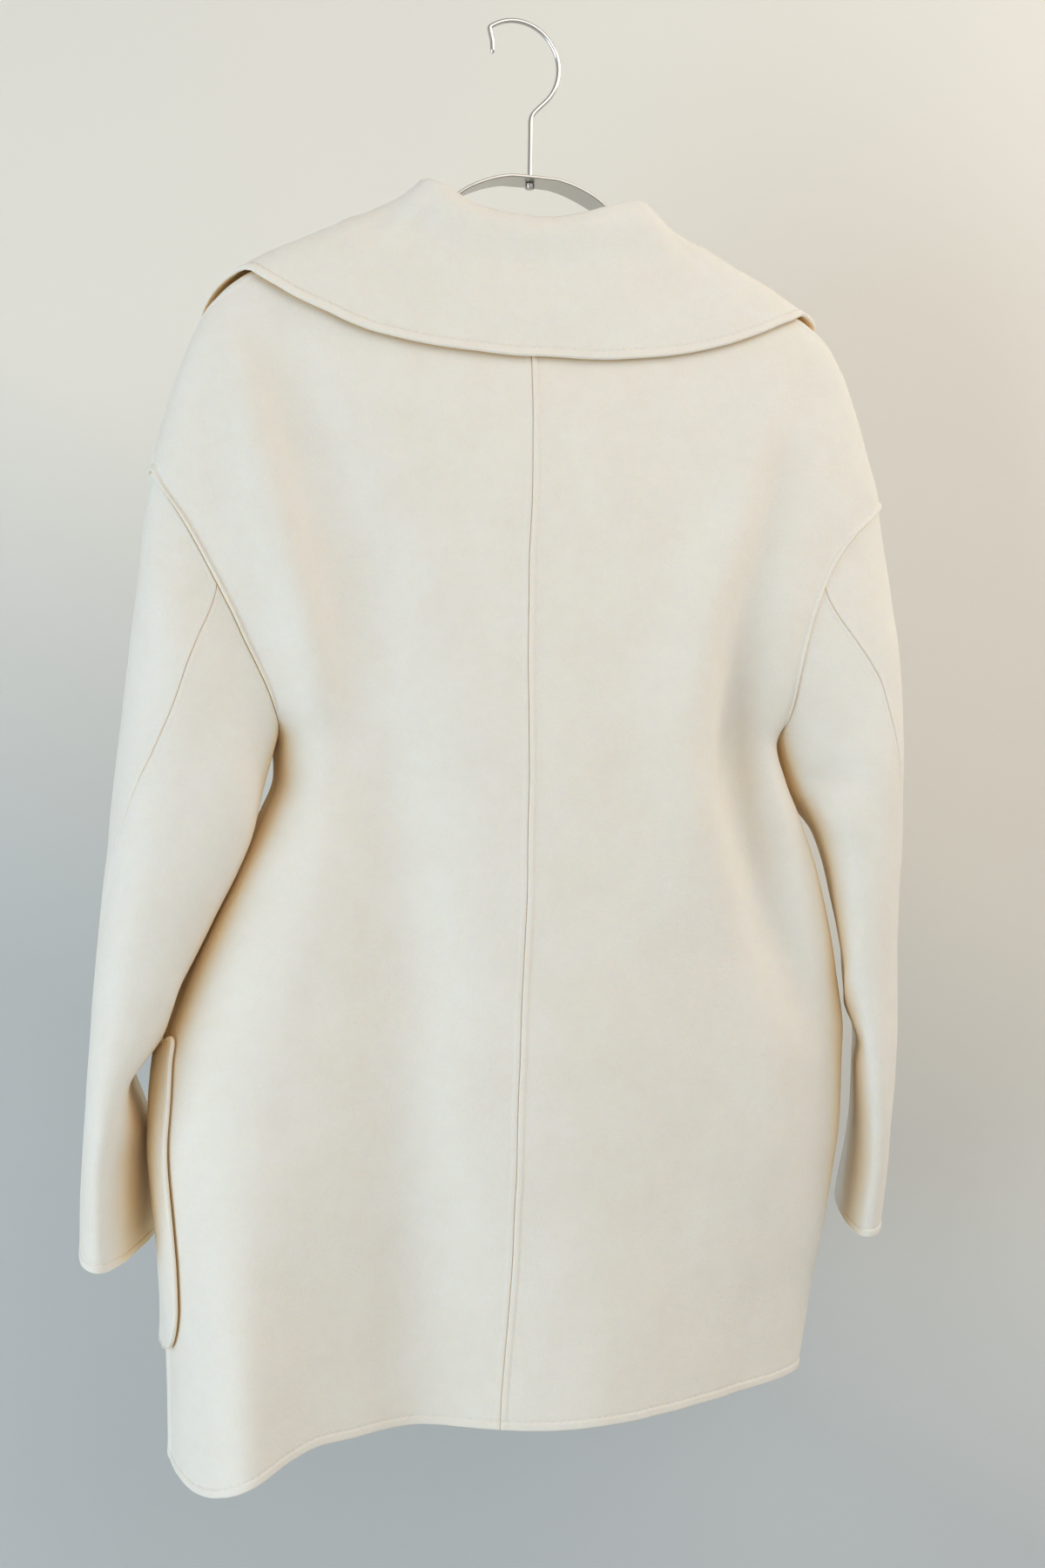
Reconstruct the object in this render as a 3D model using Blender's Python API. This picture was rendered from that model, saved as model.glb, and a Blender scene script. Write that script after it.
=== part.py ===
"""A short coat of felted wool cloth, hanging on a bent steel hanger.

Lengths below are in millimetres and are turned into metres where a mesh is made. +Z is up, +X is
the wearer's left, the front faces -Y, and the origin is the inside top of the hook's bend.
"""

import math

import bpy
import numpy as np

MM = 0.001

# Cloth, seams and the places of the main pieces
CLOTH = 2.5  # thickness of the felted cloth
SEAM_GAP = 0.3  # between pieces that are sewn together
WELT_WIDTH = 3.0  # half of a raised seam, on each side of its gap
WELT_RISE = 0.9
WELT_SLOPE = 1.8
EDGE_WIDTH = 5.0  # the turned edge at the hem, the cuffs and the collar
EDGE_RISE = 0.6
EDGE_SLOPE = 1.2
COAT_CENTRE = -10.0  # X of the coat's middle: it hangs below the hanger's stem
ARMHOLE_TOP = -320.0
UNDERARM = {1: -494.0, -1: -495.0}
NECK_POINT = (80.0, -137.0)  # where the neckline crosses the shoulder: across, z
NECK_BACK_DROP = 26.0
NECK_BACK_BEND = 2.5
NECK_FRONT = (34.0, -302.0)  # where the front neckline ends beside the middle: across, z
EVEN_AT = -440.0  # here a panel's columns are evenly spaced
HEM_LIKE_AT = -760.0  # and from here down they keep their shares of the hem
OVERLAP = 34.0  # one front lies over the other this far past the middle
LAYER = 1.9  # each overlapping front stands this far off the middle layer
LAYER_ENDS = (40.0, 75.0)
SEAM_SET_BACK = 15.0  # the shoulder seam lies this far behind the crest
SET_BACK_RUN = (30.0, -190.0, -230.0)  # it moves back over this width, and forward between these heights

# The body's level sections: half width on the left and right, depth of back and front, and how
# round each corner is (0.3 is a flat panel with tight corners, 1 is an ellipse)
BODY_COLUMNS = ("z", "left", "right", "back", "front", "round_left", "round_right", "round_front")
BODY = (
    (-130, 64, 64, 18, 18, 0.36, 0.36, 0.36),
    (-137, 80, 80, 20, 20, 0.36, 0.36, 0.36),
    (-166, 150, 150, 25, 24, 0.38, 0.38, 0.38),
    (-184, 191, 191, 29, 28, 0.40, 0.40, 0.40),
    (-192, 204, 205, 31, 30, 0.42, 0.42, 0.42),
    (-202, 215, 217, 34, 32, 0.44, 0.44, 0.44),
    (-222, 228, 232, 38, 36, 0.46, 0.46, 0.46),
    (-254, 241, 246, 44, 41, 0.50, 0.50, 0.50),
    (-285, 250, 257, 48, 45, 0.54, 0.54, 0.54),
    (-320, 258, 267, 52, 49, 0.58, 0.58, 0.58),
    (-350, 258, 264, 55, 51, 0.60, 0.60, 0.60),
    (-390, 247, 250, 59, 54, 0.60, 0.62, 0.62),
    (-440, 220, 226, 63, 58, 0.60, 0.62, 0.62),
    (-475, 194, 200, 66, 60, 0.60, 0.62, 0.62),
    (-495, 175, 188, 68, 62, 0.60, 0.62, 0.62),
    (-520, 173, 194, 70, 64, 0.60, 0.60, 0.62),
    (-545, 182, 204, 72, 66, 0.58, 0.57, 0.64),
    (-585, 202, 218, 75, 69, 0.56, 0.56, 0.66),
    (-655, 233, 235, 79, 74, 0.56, 0.64, 0.70),
    (-710, 249, 244, 83, 79, 0.56, 0.74, 0.72),
    (-760, 252, 245, 85, 83, 0.56, 0.82, 0.74),
    (-840, 245, 236, 87, 88, 0.54, 0.92, 0.78),
    (-900, 243, 224, 90, 92, 0.50, 1.00, 0.82),
    (-965, 241, 214, 92, 96, 0.50, 1.00, 0.86),
)

# The centre back seam's distance to the left of the coat's middle
CENTRE_BACK_COLUMNS = ("z", "across")
CENTRE_BACK = ((-160, 9), (-240, 11), (-400, 15), (-640, 22), (-965, 34))

# The hem's height by how far round it is: -2 and 2 are centre front, -1 and 1 the side seams
HEM_COLUMNS = ("round", "z")
HEM = (
    (-2.2, -955), (-1.5, -953), (-1.0, -950), (-0.6, -947), (0.0, -948), (0.35, -949),
    (0.6, -963), (0.85, -977), (1.0, -977), (1.5, -962), (2.2, -955),
)

# The armhole seam, as seen from behind or from the front
ARMHOLE_COLUMNS = ("z", "left", "right")
ARMHOLE = (
    (-320, 258, 267),
    (-330, 253.5, 255),
    (-345, 244, 239),
    (-385, 221, 214),
    (-427, 200, 201),
    (-470, 181, 193),
    (-494, 175, 188.5),
    (-502, 174.5, 188),
)

# Soft folds: where each one runs down the cloth, how far it stands out (or in) and its half width
FOLD_COLUMNS = ("z", "across", "rise", "half_width")
BACK_FOLDS = {
    "left shoulder ridge": (
        (-215, 222, 0, 12),
        (-260, 207, 5, 16),
        (-350, 186, 7, 18),
        (-455, 158, 5, 16),
        (-560, 150, 0, 20),
    ),
    "left shoulder trough": (
        (-215, 196, 0, 20),
        (-300, 165, -6, 26),
        (-400, 132, -9, 32),
        (-560, 100, -9, 38),
        (-700, 92, 0, 40),
    ),
    "left hem trough": ((-480, 100, 0, 40), (-700, 96, -14, 42), (-965, 86, -33, 44)),
    "left corner": ((-600, 205, 0, 30), (-760, 212, 10, 36), (-965, 216, 42, 40)),
    "centre ridge": ((-300, 30, 0, 60), (-600, 0, 4, 60), (-965, -40, 8, 60)),
    "right shoulder ridge": (
        (-215, -190, 0, 14),
        (-330, -142, 5, 22),
        (-500, -100, 9, 30),
        (-640, -110, 0, 40),
    ),
    "right trough": (
        (-225, -202, 0, 12),
        (-330, -168, -8, 16),
        (-440, -146, -20, 20),
        (-515, -148, -31, 22),
        (-600, -166, -24, 24),
        (-715, -212, 0, 26),
    ),
}
FRONT_FOLDS = {
    "left trough": ((-400, 120, 0, 26), (-640, 112, -14, 34), (-965, 104, -26, 42)),
    "left ridge": ((-520, 190, 0, 26), (-760, 196, 8, 32), (-965, 200, 18, 38)),
    "right trough": ((-380, -128, 0, 24), (-600, -122, -16, 32), (-965, -116, -22, 40)),
    "right ridge": ((-560, -186, 0, 26), (-780, -178, 7, 30), (-965, -172, 14, 36)),
}
FOLD_FADE = 8  # folds flatten out near the side seams; a higher power keeps them closer to the seam

# Sleeve sections, from the armhole to the cuff: the outer and inner edges seen from behind, half
# the depth from front to back, how far the middle lies behind the hook, how far the back edge leans
# outward for each millimetre of depth, and how far the inner side leans beyond that
SLEEVE_COLUMNS = ("ring", "outer", "z_outer", "inner", "z_inner", "depth", "middle", "lean", "inner_lean")
SLEEVES = {
    1: (
        (0, 258, -320, 175, -495, 42, 0, 0.00, 0.00),
        (1, 266, -390, 182, -524, 52, 0, 0.02, -0.03),
        (2, 274, -470, 194, -562, 60, 0, 0.05, -0.18),
        (3, 283, -555, 223, -622, 65, -3, 0.08, -0.22),
        (4, 290, -640, 252, -684, 68, -6, 0.10, -0.18),
        (5, 295, -715, 263, -728, 70, -10, 0.10, 0.05),
        (6, 297, -776, 257, -780, 68, -18, 0.08, 0.28),
        (7, 298, -838, 255, -840, 66, -28, 0.06, 0.30),
    ),
    -1: (
        (0, 267, -320, 188, -495, 42, 0, 0.00, 0.00),
        (1, 279, -390, 200, -528, 50, 0, -0.05, -0.02),
        (2, 286, -470, 224, -560, 58, 0, -0.15, -0.20),
        (3, 292, -560, 241, -612, 64, -3, -0.30, -0.16),
        (4, 294, -640, 255, -672, 68, -6, -0.42, -0.08),
        (5, 297, -715, 263, -715, 70, -8, -0.45, 0.00),
        (6, 295, -782, 267, -785, 70, -12, -0.45, 0.08),
        (7, 293, -848, 263, -848, 68, -20, -0.45, 0.10),
    ),
}
SLEEVE_TWIST = 0.17  # of a turn: the sleeve's back seam winds to its outer edge
SLEEVE_TWIST_RUN = (0.9, 4.2)  # the rings where the twist starts and ends
SLEEVE_SQUARENESS = 0.8  # 1 is an oval section; a lower power is flatter on its sides
SLEEVE_BLEND = 1.3  # the armhole's own shape fades out by this ring

# The collar, from the centre back (0) to its front end (10): its place along the neckline and its
# outer edge (both 0 centre back, 1 shoulder, 2 front), the height of its stand, and how far the
# fall stands off the coat near the roll and at the edge
COLLAR_COLUMNS = ("station", "neck", "edge", "edge_z", "stand", "off_roll", "off_edge")
COLLAR = (
    (0, 0.00, 0.000, -236.5, 21, 6.0, 5.5),
    (1, 0.30, 0.120, -235.5, 21, 6.0, 5.5),
    (2, 0.58, 0.290, -228.5, 21, 6.5, 5.5),
    (3, 0.82, 0.470, -213, 18, 9.0, 6.0),
    (4, 0.94, 0.690, -197, 13, 12.5, 7.0),
    (4.5, 0.98, 0.860, -191, 11, 14.0, 8.2),
    (5, 1.00, 1.000, -199, 10, 14.0, 8.6),
    (6, 1.07, 1.220, -245, 10, 12.0, 8.0),
    (7, 1.25, 1.390, -305, 10, 9.0, 6.5),
    (8, 1.48, 1.558, -352, 9, 7.5, 6.5),
    (9, 1.72, 1.724, -378, 7, 7.0, 6.5),
    (10, 1.95, 1.885, -384, 5, 7.0, 6.5),
)
ROLL_RADIUS = 4.0
STAND_LEAN = 1.5
COLLAR_GAP = 0.85  # above the neckline, whose points it doesn't share
COLLAR_FRONT_GAP = 1.3  # more than that in front
FALL_PLACES = (0.14, 0.34, 0.56, 0.78, 1.0)
SHOULDER_STATION = 5.0

# The patch pockets, which lap round the side seams
POCKET_TOP = -690.0
POCKET_BOTTOM = -898.0
POCKET_BEHIND = {  # from the side seam to the pocket's back edge, from its top (0) to its bottom (1)
    1: ((0.0, 28), (0.4, 49), (0.75, 50), (1.0, 46)),
    -1: ((0.0, -4), (1.0, -4)),
}
POCKET_AHEAD = {1: 145.0, -1: 190.0}
POCKET_CORNER = 24.0
POCKET_OFF = {1: 1.7, -1: 2.1}  # clear of the seam's welt and of the folds behind it
CORNER_CELLS = 3
EDGE_SPACE = 0.12  # columns keep this far from a pocket's edge, in cells of the body's grid
LINE_SPACE = 0.02  # and this far from each other
SPLIT_BIAS = 0.02  # a cell is split the other way where that is smoother by this much

# The hanger: a bent rod for the hook, and a sheet strip under the shoulders
ROD = 3.5
HOOK_CENTRE = (1.7, -29.25)
HOOK_RADIUS = 31.0
STEM_X = -9.5
STEM_END = -105.68
STRIP_COLUMNS = ("out", "z", "half_width")
STRIP = (
    (0, -107.0, 13.0),
    (15, -107.2, 13.0),
    (24, -108.8, 13.0),
    (34, -112.0, 13.0),
    (54, -123.0, 11.5),
    (60, -130.0, 10.4),
    (66, -140.8, 8.2),
    (72, -149.2, 7.2),
    (80, -152.8, 7.4),
    (95, -156.0, 8.5),
    (150, -175.2, 9.5),
    (191, -193.9, 9.0),
    (200, -199.4, 8.0),
    (203, -201.6, 6.0),
)
STRIP_THICKNESS = 2.0
STRIP_STEPS = 30
SCREW_RADIUS = 3.4
SCREW_LENGTH = 4.2
SCREW_GAP = 0.4

# Grids of the cloth pieces
DENSE = 300  # points in a line before it is divided into cells
UNDERARM_DIP = 0.10  # rows sink by this share beside the underarm, and so leave its corner evenly
ROWS_CROWD = 1.25  # rows lie closer near the top of a panel; 1 spaces them evenly
COLUMN_CROWD = 2.5
ARMHOLE_CELLS = 7
SIDE_CELLS = 11
NECK_BACK_CELLS = 4
NECK_FRONT_CELLS = 5
NECK_CROWD = 1.5  # over 1 puts more of them near the shoulder
FRONT_BASE_CELLS = 3
SHOULDER_CELLS = 9
SLEEVE_SPLIT = 3  # cells down the armhole to the sleeve's two seams
SLEEVE_ROWS = 16
CREST_POINTS = 12  # in the part of a front that lies behind the crest
COLLAR_CELLS = 18

# Lines near a piece's edge: how far in each one is, and how far it is raised
SEAM = ((SEAM_GAP / 2, WELT_RISE), (WELT_WIDTH, WELT_RISE), (WELT_WIDTH + WELT_SLOPE, 0.0))
EDGE = ((0.0, EDGE_RISE), (EDGE_WIDTH, EDGE_RISE), (EDGE_WIDTH + EDGE_SLOPE, 0.0))
PLAIN = ((0.0, 0.0),)
FOLD_BACK = 0.4  # pieces whose directions differ by more than this negative cosine aren't in line

COLOURS = {
    "wool": ((0.83, 0.76, 0.66), 0.92, 0.0),
    "bright steel": ((0.72, 0.72, 0.73), 0.22, 1.0),
    "satin steel": ((0.62, 0.61, 0.59), 0.38, 1.0),
}


def smooth_step(t):
    t = np.clip(t, 0.0, 1.0)
    return t * t * (3.0 - 2.0 * t)


def smooth_curve(stations, values, at):
    """A curve through the values with no overshoot (monotone cubic), held level past both ends."""
    order = np.argsort(stations)
    x, y = np.asarray(stations, float)[order], np.asarray(values, float)[order]
    step, rise = np.diff(x), np.diff(y)
    slope = rise / step
    tangent = np.zeros_like(y)
    same = slope[:-1] * slope[1:] > 0
    a, b = 2 * step[1:] + step[:-1], step[1:] + 2 * step[:-1]
    safe_low, safe_high = np.where(same, slope[:-1], 1.0), np.where(same, slope[1:], 1.0)
    tangent[1:-1] = np.where(same, (a + b) / (a / safe_low + b / safe_high), 0.0)
    tangent[0], tangent[-1] = slope[0], slope[-1]
    at = np.clip(np.asarray(at, float), x[0], x[-1])
    i = np.clip(np.searchsorted(x, at) - 1, 0, len(x) - 2)
    t = (at - x[i]) / step[i]
    return (
        y[i] * (1 + 2 * t) * (1 - t) ** 2
        + tangent[i] * step[i] * t * (1 - t) ** 2
        + y[i + 1] * t * t * (3 - 2 * t)
        - tangent[i + 1] * step[i] * t * t * (1 - t)
    )


def column(rows, columns, name, at):
    """Reads the named column of a table at places along its first column."""
    table = np.asarray(rows, float)
    return smooth_curve(table[:, 0], table[:, columns.index(name)], at)


def body_size(name, z):
    return column(BODY, BODY_COLUMNS, name, z)


def half_width(side, z):
    return body_size("left" if side > 0 else "right", z)


def fold_rise(folds, x, z):
    """How far the folds move the cloth out, x across from the coat's middle."""
    total = np.zeros(np.broadcast(x, z).shape)
    for stations in folds.values():
        centre = column(stations, FOLD_COLUMNS, "across", z)
        rise = column(stations, FOLD_COLUMNS, "rise", z)
        width = column(stations, FOLD_COLUMNS, "half_width", z)
        total = total + rise * np.exp(-(((x - centre) / width) ** 2))
    return total


def body_surface(share, z, front):
    """The cloth's outer face, by the share of its half width (-1 right seam, 1 left seam) and height."""
    share, z = np.broadcast_arrays(np.asarray(share, float), np.asarray(z, float))
    half = np.where(share >= 0, body_size("left", z), body_size("right", z))
    inside = np.clip(1.0 - share**2, 0.0, 1.0)
    if front:
        x = half * share
        roundness = body_size("round_front", z)
        depth, folds, facing = body_size("front", z), FRONT_FOLDS, -1.0
    else:
        centre = column(CENTRE_BACK, CENTRE_BACK_COLUMNS, "across", z)
        x = half * share + centre * inside
        left_weight = smooth_step((share + 1.0) / 2.0)
        round_left, round_right = body_size("round_left", z), body_size("round_right", z)
        roundness = round_right + left_weight * (round_left - round_right)
        depth, folds, facing = body_size("back", z), BACK_FOLDS, 1.0
    hollow = depth * inside ** (roundness / 2.0)
    out = hollow + fold_rise(folds, x, z) * (1.0 - (1.0 - inside) ** FOLD_FADE)
    return np.stack([COAT_CENTRE + x, facing * out, z], axis=-1)


def unit(vectors):
    return vectors / np.maximum(np.linalg.norm(vectors, axis=-1, keepdims=True), 1e-9)


def length_along(points):
    """Distance along a row of points, from 0 at its first point."""
    steps = np.linalg.norm(np.diff(points, axis=0), axis=1)
    return np.concatenate([[0.0], np.cumsum(steps)])


def at_distance(values, along, distances):
    return np.stack([np.interp(distances, along, v) for v in values.T], axis=-1)


def evenly(values, points, count):
    """Values at places spaced evenly along the points that they belong to."""
    along = length_along(points)
    return at_distance(values, along, np.linspace(0.0, along[-1], count + 1))


def back_neckline():
    """Distance across and height along the back neckline, from the centre to the shoulder."""
    t = 1.0 - (1.0 - np.linspace(0.0, 1.0, DENSE)) ** 3
    z = NECK_POINT[1] - NECK_BACK_DROP * (1.0 - t**NECK_BACK_BEND)
    return np.stack([NECK_POINT[0] * t, z], axis=-1)


def front_neckline():
    """The same from the shoulder to the front neckline's end beside the middle."""
    t = np.linspace(0.0, 1.0, DENSE) ** 3
    z = NECK_POINT[1] + (NECK_FRONT[1] - NECK_POINT[1]) * t
    across = NECK_FRONT[0] + (NECK_POINT[0] - NECK_FRONT[0]) * np.cos(t * math.pi / 2.0)
    return np.stack([across, z], axis=-1)


def outer_points(side, line, front):
    """The cloth's outer face along a line of distances across and heights."""
    share = np.clip(line[:, 0] / half_width(side, line[:, 1]), -1.0, 1.0)
    return body_surface(side * share, line[:, 1], front)


def column_tops(side, front):
    """Distance across and height of each column's top, along the neckline and the shoulder."""
    z = np.linspace(NECK_POINT[1], ARMHOLE_TOP, DENSE)
    shoulder = np.stack([half_width(side, z), z], axis=-1)
    shoulder = evenly(shoulder, outer_points(side, shoulder, front), SHOULDER_CELLS)
    if not front:
        neck = back_neckline()
        neck = evenly(neck, outer_points(side, neck, front), NECK_BACK_CELLS)
        return np.concatenate([neck, shoulder[1:]])
    neck = front_neckline()
    along = length_along(outer_points(side, neck, front))
    neck = at_distance(neck, along, along[-1] * np.linspace(1.0, 0.0, NECK_FRONT_CELLS + 1) ** NECK_CROWD)
    across = np.linspace(-OVERLAP, NECK_FRONT[0], FRONT_BASE_CELLS + 1)
    base = np.stack([across, np.full(len(across), NECK_FRONT[1])], axis=-1)
    return np.concatenate([base[:-1], neck, shoulder[1:]])


def hem_shares(side, front, count):
    """Each column's share of the half width at the hem, spaced evenly round it."""
    first = -OVERLAP / half_width(side, HEM[0][1]) if front else 0.0
    angle = np.linspace(math.asin(first), math.pi / 2.0, DENSE)
    share = np.sin(angle)
    points = body_surface(side * share, np.full(DENSE, float(HEM[0][1])), front)
    return evenly(share[:, None], points, count - 1)[:, 0]


def hem_height(side, share, front):
    round_place = np.arcsin(np.clip(share, -1.0, 1.0)) / (math.pi / 2.0)
    return column(HEM, HEM_COLUMNS, "z", side * np.where(front, 2.0 - round_place, round_place))


def panel_edge(side, z):
    """How far the armhole and the side seam lie from the middle."""
    seam = column(ARMHOLE, ARMHOLE_COLUMNS, "left" if side > 0 else "right", z)
    seam = np.where(z > ARMHOLE_TOP, half_width(side, ARMHOLE_TOP), seam)
    return np.where(z <= UNDERARM[side], half_width(side, z), seam)


def panel_column(side, front, top, even_share, hem_share):
    """A dense line of points down the cloth from the neckline or the shoulder."""
    z_end = float(hem_height(side, hem_share, front))
    z = top[1] + (z_end - top[1]) * np.linspace(0.0, 1.0, DENSE) ** COLUMN_CROWD
    top_share = top[0] / half_width(side, ARMHOLE_TOP)
    share = top_share + (even_share - top_share) * smooth_step((top[1] - z) / (top[1] - EVEN_AT))
    share = share + (hem_share - even_share) * smooth_step((EVEN_AT - z) / (EVEN_AT - HEM_LIKE_AT))
    return outer_points(side, np.stack([panel_edge(side, z) * share, z], axis=-1), front)


def side_line(side, front):
    """The armhole and the side seam as one line of points, with even cells along each."""
    z = np.linspace(ARMHOLE_TOP, UNDERARM[side], DENSE)
    armhole = outer_points(side, np.stack([panel_edge(side, z), z], axis=-1), front)
    armhole[0] = body_surface(side, ARMHOLE_TOP, front)
    armhole = np.concatenate([armhole[:-1], body_surface(side, np.full(1, UNDERARM[side]), front)])
    z_end = float(hem_height(side, 1.0, front))
    seam = body_surface(side, np.linspace(UNDERARM[side], z_end, DENSE), front)
    armhole, seam = evenly(armhole, armhole, ARMHOLE_CELLS), evenly(seam, seam, SIDE_CELLS)
    return np.concatenate([armhole, seam[1:]])


def seam_set_back(top):
    """How far the shoulder seam lies behind the crest of the shoulder."""
    run, high, low = SET_BACK_RUN
    start = smooth_step((top[0] - NECK_POINT[0]) / run)
    return SEAM_SET_BACK * float(start * smooth_step((top[1] - low) / (high - low)))


def panel(side, front, back_panel=None):
    """The outer face of one half of the back or front: rows run down, columns from the middle out."""
    tops = column_tops(side, front)
    shares = hem_shares(side, front, len(tops))
    last = side_line(side, front)
    side_places = length_along(last) / length_along(last)[-1]
    rows = np.linspace(0.0, 1.0, len(last)) ** ROWS_CROWD
    dip = UNDERARM_DIP * np.exp(-(((np.arange(len(last)) / ARMHOLE_CELLS - 1.0) / 0.36) ** 2))
    even = np.linspace(shares[0], 1.0, len(tops))
    lines = []
    for i, top in enumerate(tops[:-1]):
        points = panel_column(side, front, top, even[i], shares[i])
        set_back = seam_set_back(top)
        if front and set_back > 0.0:
            over = panel_column(side, False, top, even[i], shares[i])
            along = length_along(over)
            over = at_distance(over, along, np.linspace(set_back, 0.0, CREST_POINTS))
            points = np.concatenate([over[:-1], points])
            set_back = 0.0
        along = length_along(points)
        nearness = (max(top[0], 0.0) / tops[-1][0]) ** 3
        places = rows + (side_places - rows) * nearness + dip * 4.0 * nearness * (1.0 - nearness)
        lines.append(at_distance(points, along, set_back + (along[-1] - set_back) * places))
    grid = np.stack(lines + [last], axis=1)
    if front:
        grid[0, -SHOULDER_CELLS - 1:] = back_panel[0, -SHOULDER_CELLS - 1:]
        across = (grid[..., 0] - COAT_CENTRE) * side
        near = 1.0 - smooth_step((across - LAYER_ENDS[0]) / (LAYER_ENDS[1] - LAYER_ENDS[0]))
        grid[..., 1] += side * LAYER * near
    return grid


def squared(t):
    """Makes a round section flatter on its sides."""
    return np.sign(t) * np.abs(t) ** SLEEVE_SQUARENESS


def sleeve_ring(side, ring, place):
    """Points round the sleeve: place 0 is its outer edge, 0.25 the back and 0.5 the inner edge."""
    size = {name: column(SLEEVES[side], SLEEVE_COLUMNS, name, ring) for name in SLEEVE_COLUMNS}
    angle = place * 2.0 * math.pi
    outward, back = squared(np.cos(angle)), squared(np.sin(angle))
    across = (size["outer"] + size["inner"]) / 2 + (size["outer"] - size["inner"]) / 2 * outward
    leaning = size["lean"] + size["inner_lean"] * (1.0 - outward) / 2
    across = across + leaning * size["depth"] * back
    z = (size["z_outer"] + size["z_inner"]) / 2 + (size["z_outer"] - size["z_inner"]) / 2 * outward
    y = size["middle"] + size["depth"] * back
    return np.stack([COAT_CENTRE + side * across, y + 0.0 * z, z + 0.0 * y], axis=-1)


def sleeve(side, back_panel, front_panel):
    """The outer face of the sleeve's top and under pieces, hung from the body's armhole points."""
    back, front = back_panel[: ARMHOLE_CELLS + 1, -1], front_panel[: ARMHOLE_CELLS + 1, -1]
    turn = np.linspace(0.0, 0.5, ARMHOLE_CELLS + 1)
    split = SLEEVE_SPLIT
    loops = {
        "top": (
            np.concatenate([front[split:0:-1], back[: split + 1]]),
            np.concatenate([-turn[split:0:-1], turn[: split + 1]]),
        ),
        "under": (
            np.concatenate([back[split:], front[split:-1][::-1]]),
            np.concatenate([turn[split:], 1.0 - turn[split:-1][::-1]]),
        ),
    }
    ring = np.linspace(0.0, SLEEVES[side][-1][0], SLEEVE_ROWS + 1)
    pieces = {}
    for name, (armhole, places) in loops.items():
        start = sleeve_ring(side, np.zeros((1, 1)), places[None, :])
        begin, end = SLEEVE_TWIST_RUN
        twist = SLEEVE_TWIST * smooth_step((ring - begin) / (end - begin))
        grid = sleeve_ring(side, ring[:, None], places[None, :] - twist[:, None])
        fade = 1.0 - smooth_step(ring / SLEEVE_BLEND)
        pieces[name] = grid + (armhole[None] - start) * fade[:, None, None]
    return pieces


def body_place(side, place, z):
    """The cloth's outer face by how far round it is: 0 centre back, 1 the side, 2 centre front."""
    share = side * np.sin(place * math.pi / 2.0)
    behind, ahead = body_surface(share, z, False), body_surface(share, z, True)
    return np.where((place <= 1.0)[..., None], behind, ahead)


def body_outward(side, place, z):
    """The direction out of the cloth there."""
    step, drop = 0.03, 2.0
    round_it = body_place(side, place + step, z) - body_place(side, place - step, z)
    down_it = body_place(side, place, z - drop) - body_place(side, place, z + drop)
    return unit(side * np.cross(round_it, down_it))


def collar_half(side, back_panel, front_panel):
    """The collar's visible face on one side: rows from the neck seam over the roll to the edge."""
    on_back = slice(0, NECK_BACK_CELLS + 1)
    on_front = slice(FRONT_BASE_CELLS, FRONT_BASE_CELLS + NECK_FRONT_CELLS + 1)
    necks = (back_panel[0, on_back], front_panel[0, on_front][::-1])
    tops = (column_tops(side, False)[on_back], column_tops(side, True)[on_front][::-1])
    station = np.linspace(0.0, COLLAR[-1][0], COLLAR_CELLS + 1)
    size = {name: column(COLLAR, COLLAR_COLUMNS, name, station) for name in COLLAR_COLUMNS}
    neck, plan = [], []
    for place in size["neck"]:
        front = int(place > 1.0)
        along = length_along(necks[front])
        distance = [(place - front) * along[-1]]
        neck.append(at_distance(necks[front], along, distance)[0])
        plan.append(at_distance(tops[front], along, distance)[0])
    neck, plan = np.array(neck), np.array(plan)
    share = np.clip(plan[:, 0] / half_width(side, plan[:, 1]), 0.0, 1.0)
    start = np.arcsin(share) / (math.pi / 2.0)
    start = np.where(size["neck"] > 1.0, 2.0 - start, start)
    along_neck = unit(np.gradient(neck, axis=0))
    toward_front = smooth_step((station - SHOULDER_STATION) / 3.0)[:, None]
    lift = np.array([0.0, 0.0, 1.0]) * (1 - toward_front) - toward_front * np.array([side, 0.0, 0.15])
    outward = unit(side * np.cross(lift, along_neck))
    lift = unit(side * np.cross(along_neck, outward))
    ahead = smooth_step((station - SHOULDER_STATION + 0.4) / 0.8)[:, None]
    foot = neck + (COLLAR_GAP + COLLAR_FRONT_GAP * ahead) * lift - CLOTH * outward
    stand = size["stand"][:, None]
    rows = [
        foot,
        foot + 0.5 * stand * lift - STAND_LEAN * outward,
        foot + stand * lift,
        foot + (stand + ROLL_RADIUS) * lift + ROLL_RADIUS * outward,
        foot + stand * lift + 2.0 * ROLL_RADIUS * outward,
    ]
    for place in FALL_PLACES:
        round_place = start + (size["edge"] - start) * place
        z = plan[:, 1] + (size["edge_z"] - plan[:, 1]) * place
        off = size["off_edge"] + (size["off_roll"] - size["off_edge"]) * (1.0 - place) ** 2
        rows.append(body_place(side, round_place, z) + off[:, None] * body_outward(side, round_place, z))
    return np.stack(rows)


def collar(pieces):
    left, right = (
        collar_half(side, pieces[f"back_{word}"]["grid"], pieces[f"front_{word}"]["grid"])
        for side, word in ((1, "left"), (-1, "right"))
    )
    return np.concatenate([right[:, :0:-1], left], axis=1)


def grid_at(grid, rows, columns):
    """Points of a grid at places between its lines: one list of rows, and columns for each row."""
    out = []
    for row, across in zip(rows, columns):
        low = min(int(row), len(grid) - 2)
        line = grid[low] + (grid[low + 1] - grid[low]) * (row - low)
        out.append(at_distance(line, np.arange(len(line)), np.asarray(across)))
    return np.array(out)


def pocket_inset(down):
    """How far the rounded corner cuts in, this far down from the pocket's top or up from its bottom."""
    left = max(0.0, POCKET_CORNER - down)
    return POCKET_CORNER - math.sqrt(max(0.0, POCKET_CORNER**2 - left**2))


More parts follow.
